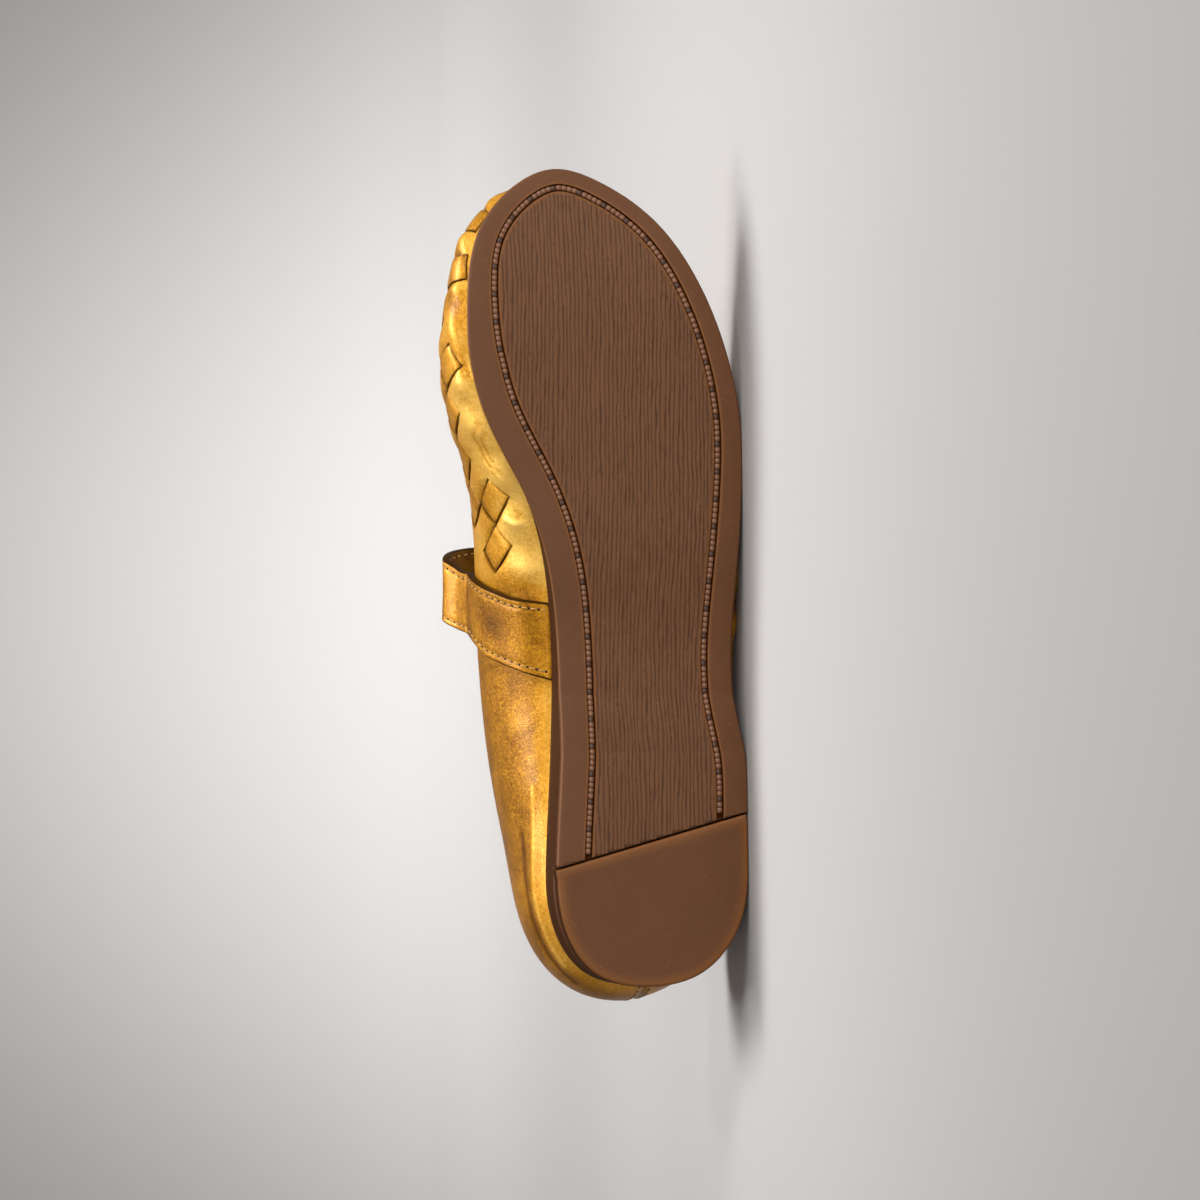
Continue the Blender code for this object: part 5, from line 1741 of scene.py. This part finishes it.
# Painted fall-off of light: grey in front, fading to pale behind, and darker beyond a pool around the shoe.
PAPER_SHADE_GREY = "#ACA9A7"
PAPER_SHADE_FADE = (0.35, 1.1)
PAPER_BORDER_SHADE = 0.5
PAPER_LIGHT_POOL = (0.42, 2.0, 0.5)
PAPER_BORDER = (0.3, 1.2)
PAPER_FIBRE = 0.6
PAPER_BUMP = 0.02
SWEEP_START = 0.9
SWEEP_RADIUS = 0.7
SWEEP_HEIGHT = 3.0
SWEEP_WIDTH = 8.0
SWEEP_STEPS = 24
TABLE_FRONT = -5.0
ROOM_WHITE = "#FFFEFD"
ROOM_STRENGTH = 0.2
SHOE_MIDDLE = (0.0, 0.0, 0.05)
LIGHTS = {
    # name: place, aim, size along and across, power, spread in degrees
    "toe_light":   ((1.6, -1.5, 0.5), SHOE_MIDDLE, (0.9, 0.7), 10.0, 90.0),
    "top_light":   ((0.6, 0.45, 1.8), SHOE_MIDDLE, (0.8, 0.8), 10.0, 90.0),
    "front_light": ((0.1, -2.0, 0.25), SHOE_MIDDLE, (1.0, 0.7), 5.2, 90.0),
    "glint_light": ((1.0, -0.9, 1.2), SHOE_MIDDLE, (0.12, 0.12), 1.0, 90.0),
    "strip_light": ((0.0, 0.6, 1.5), (0.0, 0.65, 0.0), (0.3, 1.8), 1.15, 36.0),
}
CAMERA_DISTANCE = 2000.0
CAMERA_TILT = math.radians(16.5)
CAMERA_TARGET = np.array((46.3, 116.4, 0.0))
CAMERA_CLIP = (0.05, 50.0)
FRAME_WIDTH = 360.0


def paper_with_painted_falloff(name):
    """Matt studio paper, pale behind, with painted shade that greys it in front and darkens its borders."""
    material, tree, shader = new_material(name)
    spot = node(tree, "ShaderNodeTexCoord", output="Object")
    away = node(tree, "ShaderNodeVectorMath", {0: spot, 1: PAPER_LIGHT_POOL}, operation="DIVIDE")
    away = node(tree, "ShaderNodeVectorMath", {0: away}, output="Value", operation="LENGTH")
    back = node(tree, "ShaderNodeSeparateXYZ", {0: spot}, output="Y")
    share, back = (
        node(tree, "ShaderNodeMapRange", {"Value": value, "From Min": start, "From Max": end},
             interpolation_type="SMOOTHSTEP")
        for value, (start, end) in ((away, PAPER_BORDER), (back, PAPER_SHADE_FADE)))
    fibre = node(tree, "ShaderNodeTexNoise", {"Vector": spot, "Scale": 1 / (PAPER_FIBRE * MM),
                                             "Detail": 3.0})
    # Painted shade: grey in front, fading to pale behind.
    paint = node(tree, "ShaderNodeMix",
                 {0: back, MIX_FIRST: colour(PAPER_SHADE_GREY), MIX_SECOND: colour(PAPER_PALE)},
                 output=MIX_RESULT, data_type="RGBA")
    # Painted shade towards the borders of the pool of light.
    value = node(tree, "ShaderNodeMath", {0: share, 1: PAPER_BORDER_SHADE - 1.0, 2: 1.0},
                 operation="MULTIPLY_ADD")
    paint = node(tree, "ShaderNodeHueSaturation", {"Color": paint, "Value": value})
    bump = node(tree, "ShaderNodeBump", {"Height": fibre, "Strength": 0.3, "Distance": PAPER_BUMP * MM})
    fill_inputs(tree, shader, {"Base Color": paint, "Normal": bump})
    shader.inputs["Roughness"].default_value = 0.9
    return material


profile = [(TABLE_FRONT, 0.0), (SWEEP_START, 0.0)]
for sine, cosine in quarter_turn(SWEEP_STEPS)[1:]:
    profile.append((SWEEP_START + SWEEP_RADIUS * sine, SWEEP_RADIUS * (1.0 - cosine)))
profile.append((SWEEP_START + SWEEP_RADIUS, SWEEP_HEIGHT))
sheet = bpy.data.meshes.new("paper_sweep")
sheet.from_pydata([(x, y, z) for y, z in profile for x in (-SWEEP_WIDTH / 2, SWEEP_WIDTH / 2)], [],
                  [(2 * row, 2 * row + 1, 2 * row + 3, 2 * row + 2) for row in range(len(profile) - 1)])
sheet.shade_smooth()
sheet.materials.append(paper_with_painted_falloff("paper_with_painted_falloff"))
paper = add_object("paper_sweep", sheet)


def soft_light(name, place, aim, size, power, spread):
    """Area light, size in metres along and across, with a grid that narrows its beam."""
    data = bpy.data.lights.new(name, "AREA")
    data.shape = "RECTANGLE"
    data.size, data.size_y = size
    data.energy = power
    data.spread = math.radians(spread)
    lamp = add_object(name, data)
    lamp.location = place
    lamp.rotation_mode = "QUATERNION"
    lamp.rotation_quaternion = (Vector(aim) - Vector(place)).to_track_quat("-Z", "Y")


for name, settings in LIGHTS.items():
    soft_light(name, *settings)

world = bpy.data.worlds.new("studio")
world.use_nodes = True
background = world.node_tree.nodes["Background"]
background.inputs["Color"].default_value = colour(ROOM_WHITE)
background.inputs["Strength"].default_value = ROOM_STRENGTH
bpy.context.scene.world = world
bpy.context.scene.view_settings.view_transform = "Standard"

sideways = np.array((math.sin(CAMERA_TILT), 0.0, -math.cos(CAMERA_TILT)))
eye = to_world(CAMERA_TARGET + sideways * CAMERA_DISTANCE)
backwards = unit(eye - to_world(CAMERA_TARGET))
upwards = TURN @ np.array((0.0, 1.0, 0.0))
rightwards = np.cross(upwards, backwards)
lens = bpy.data.cameras.new("camera")
lens.angle = 2.0 * math.atan(FRAME_WIDTH / 2 / CAMERA_DISTANCE)
lens.clip_start, lens.clip_end = CAMERA_CLIP
camera = add_object("camera", lens)
pose = Matrix.Identity(4)
for axis, direction in enumerate((rightwards, upwards, backwards)):
    pose.col[axis][:3] = direction
pose.translation = eye
camera.matrix_world = pose
bpy.context.scene.camera = camera
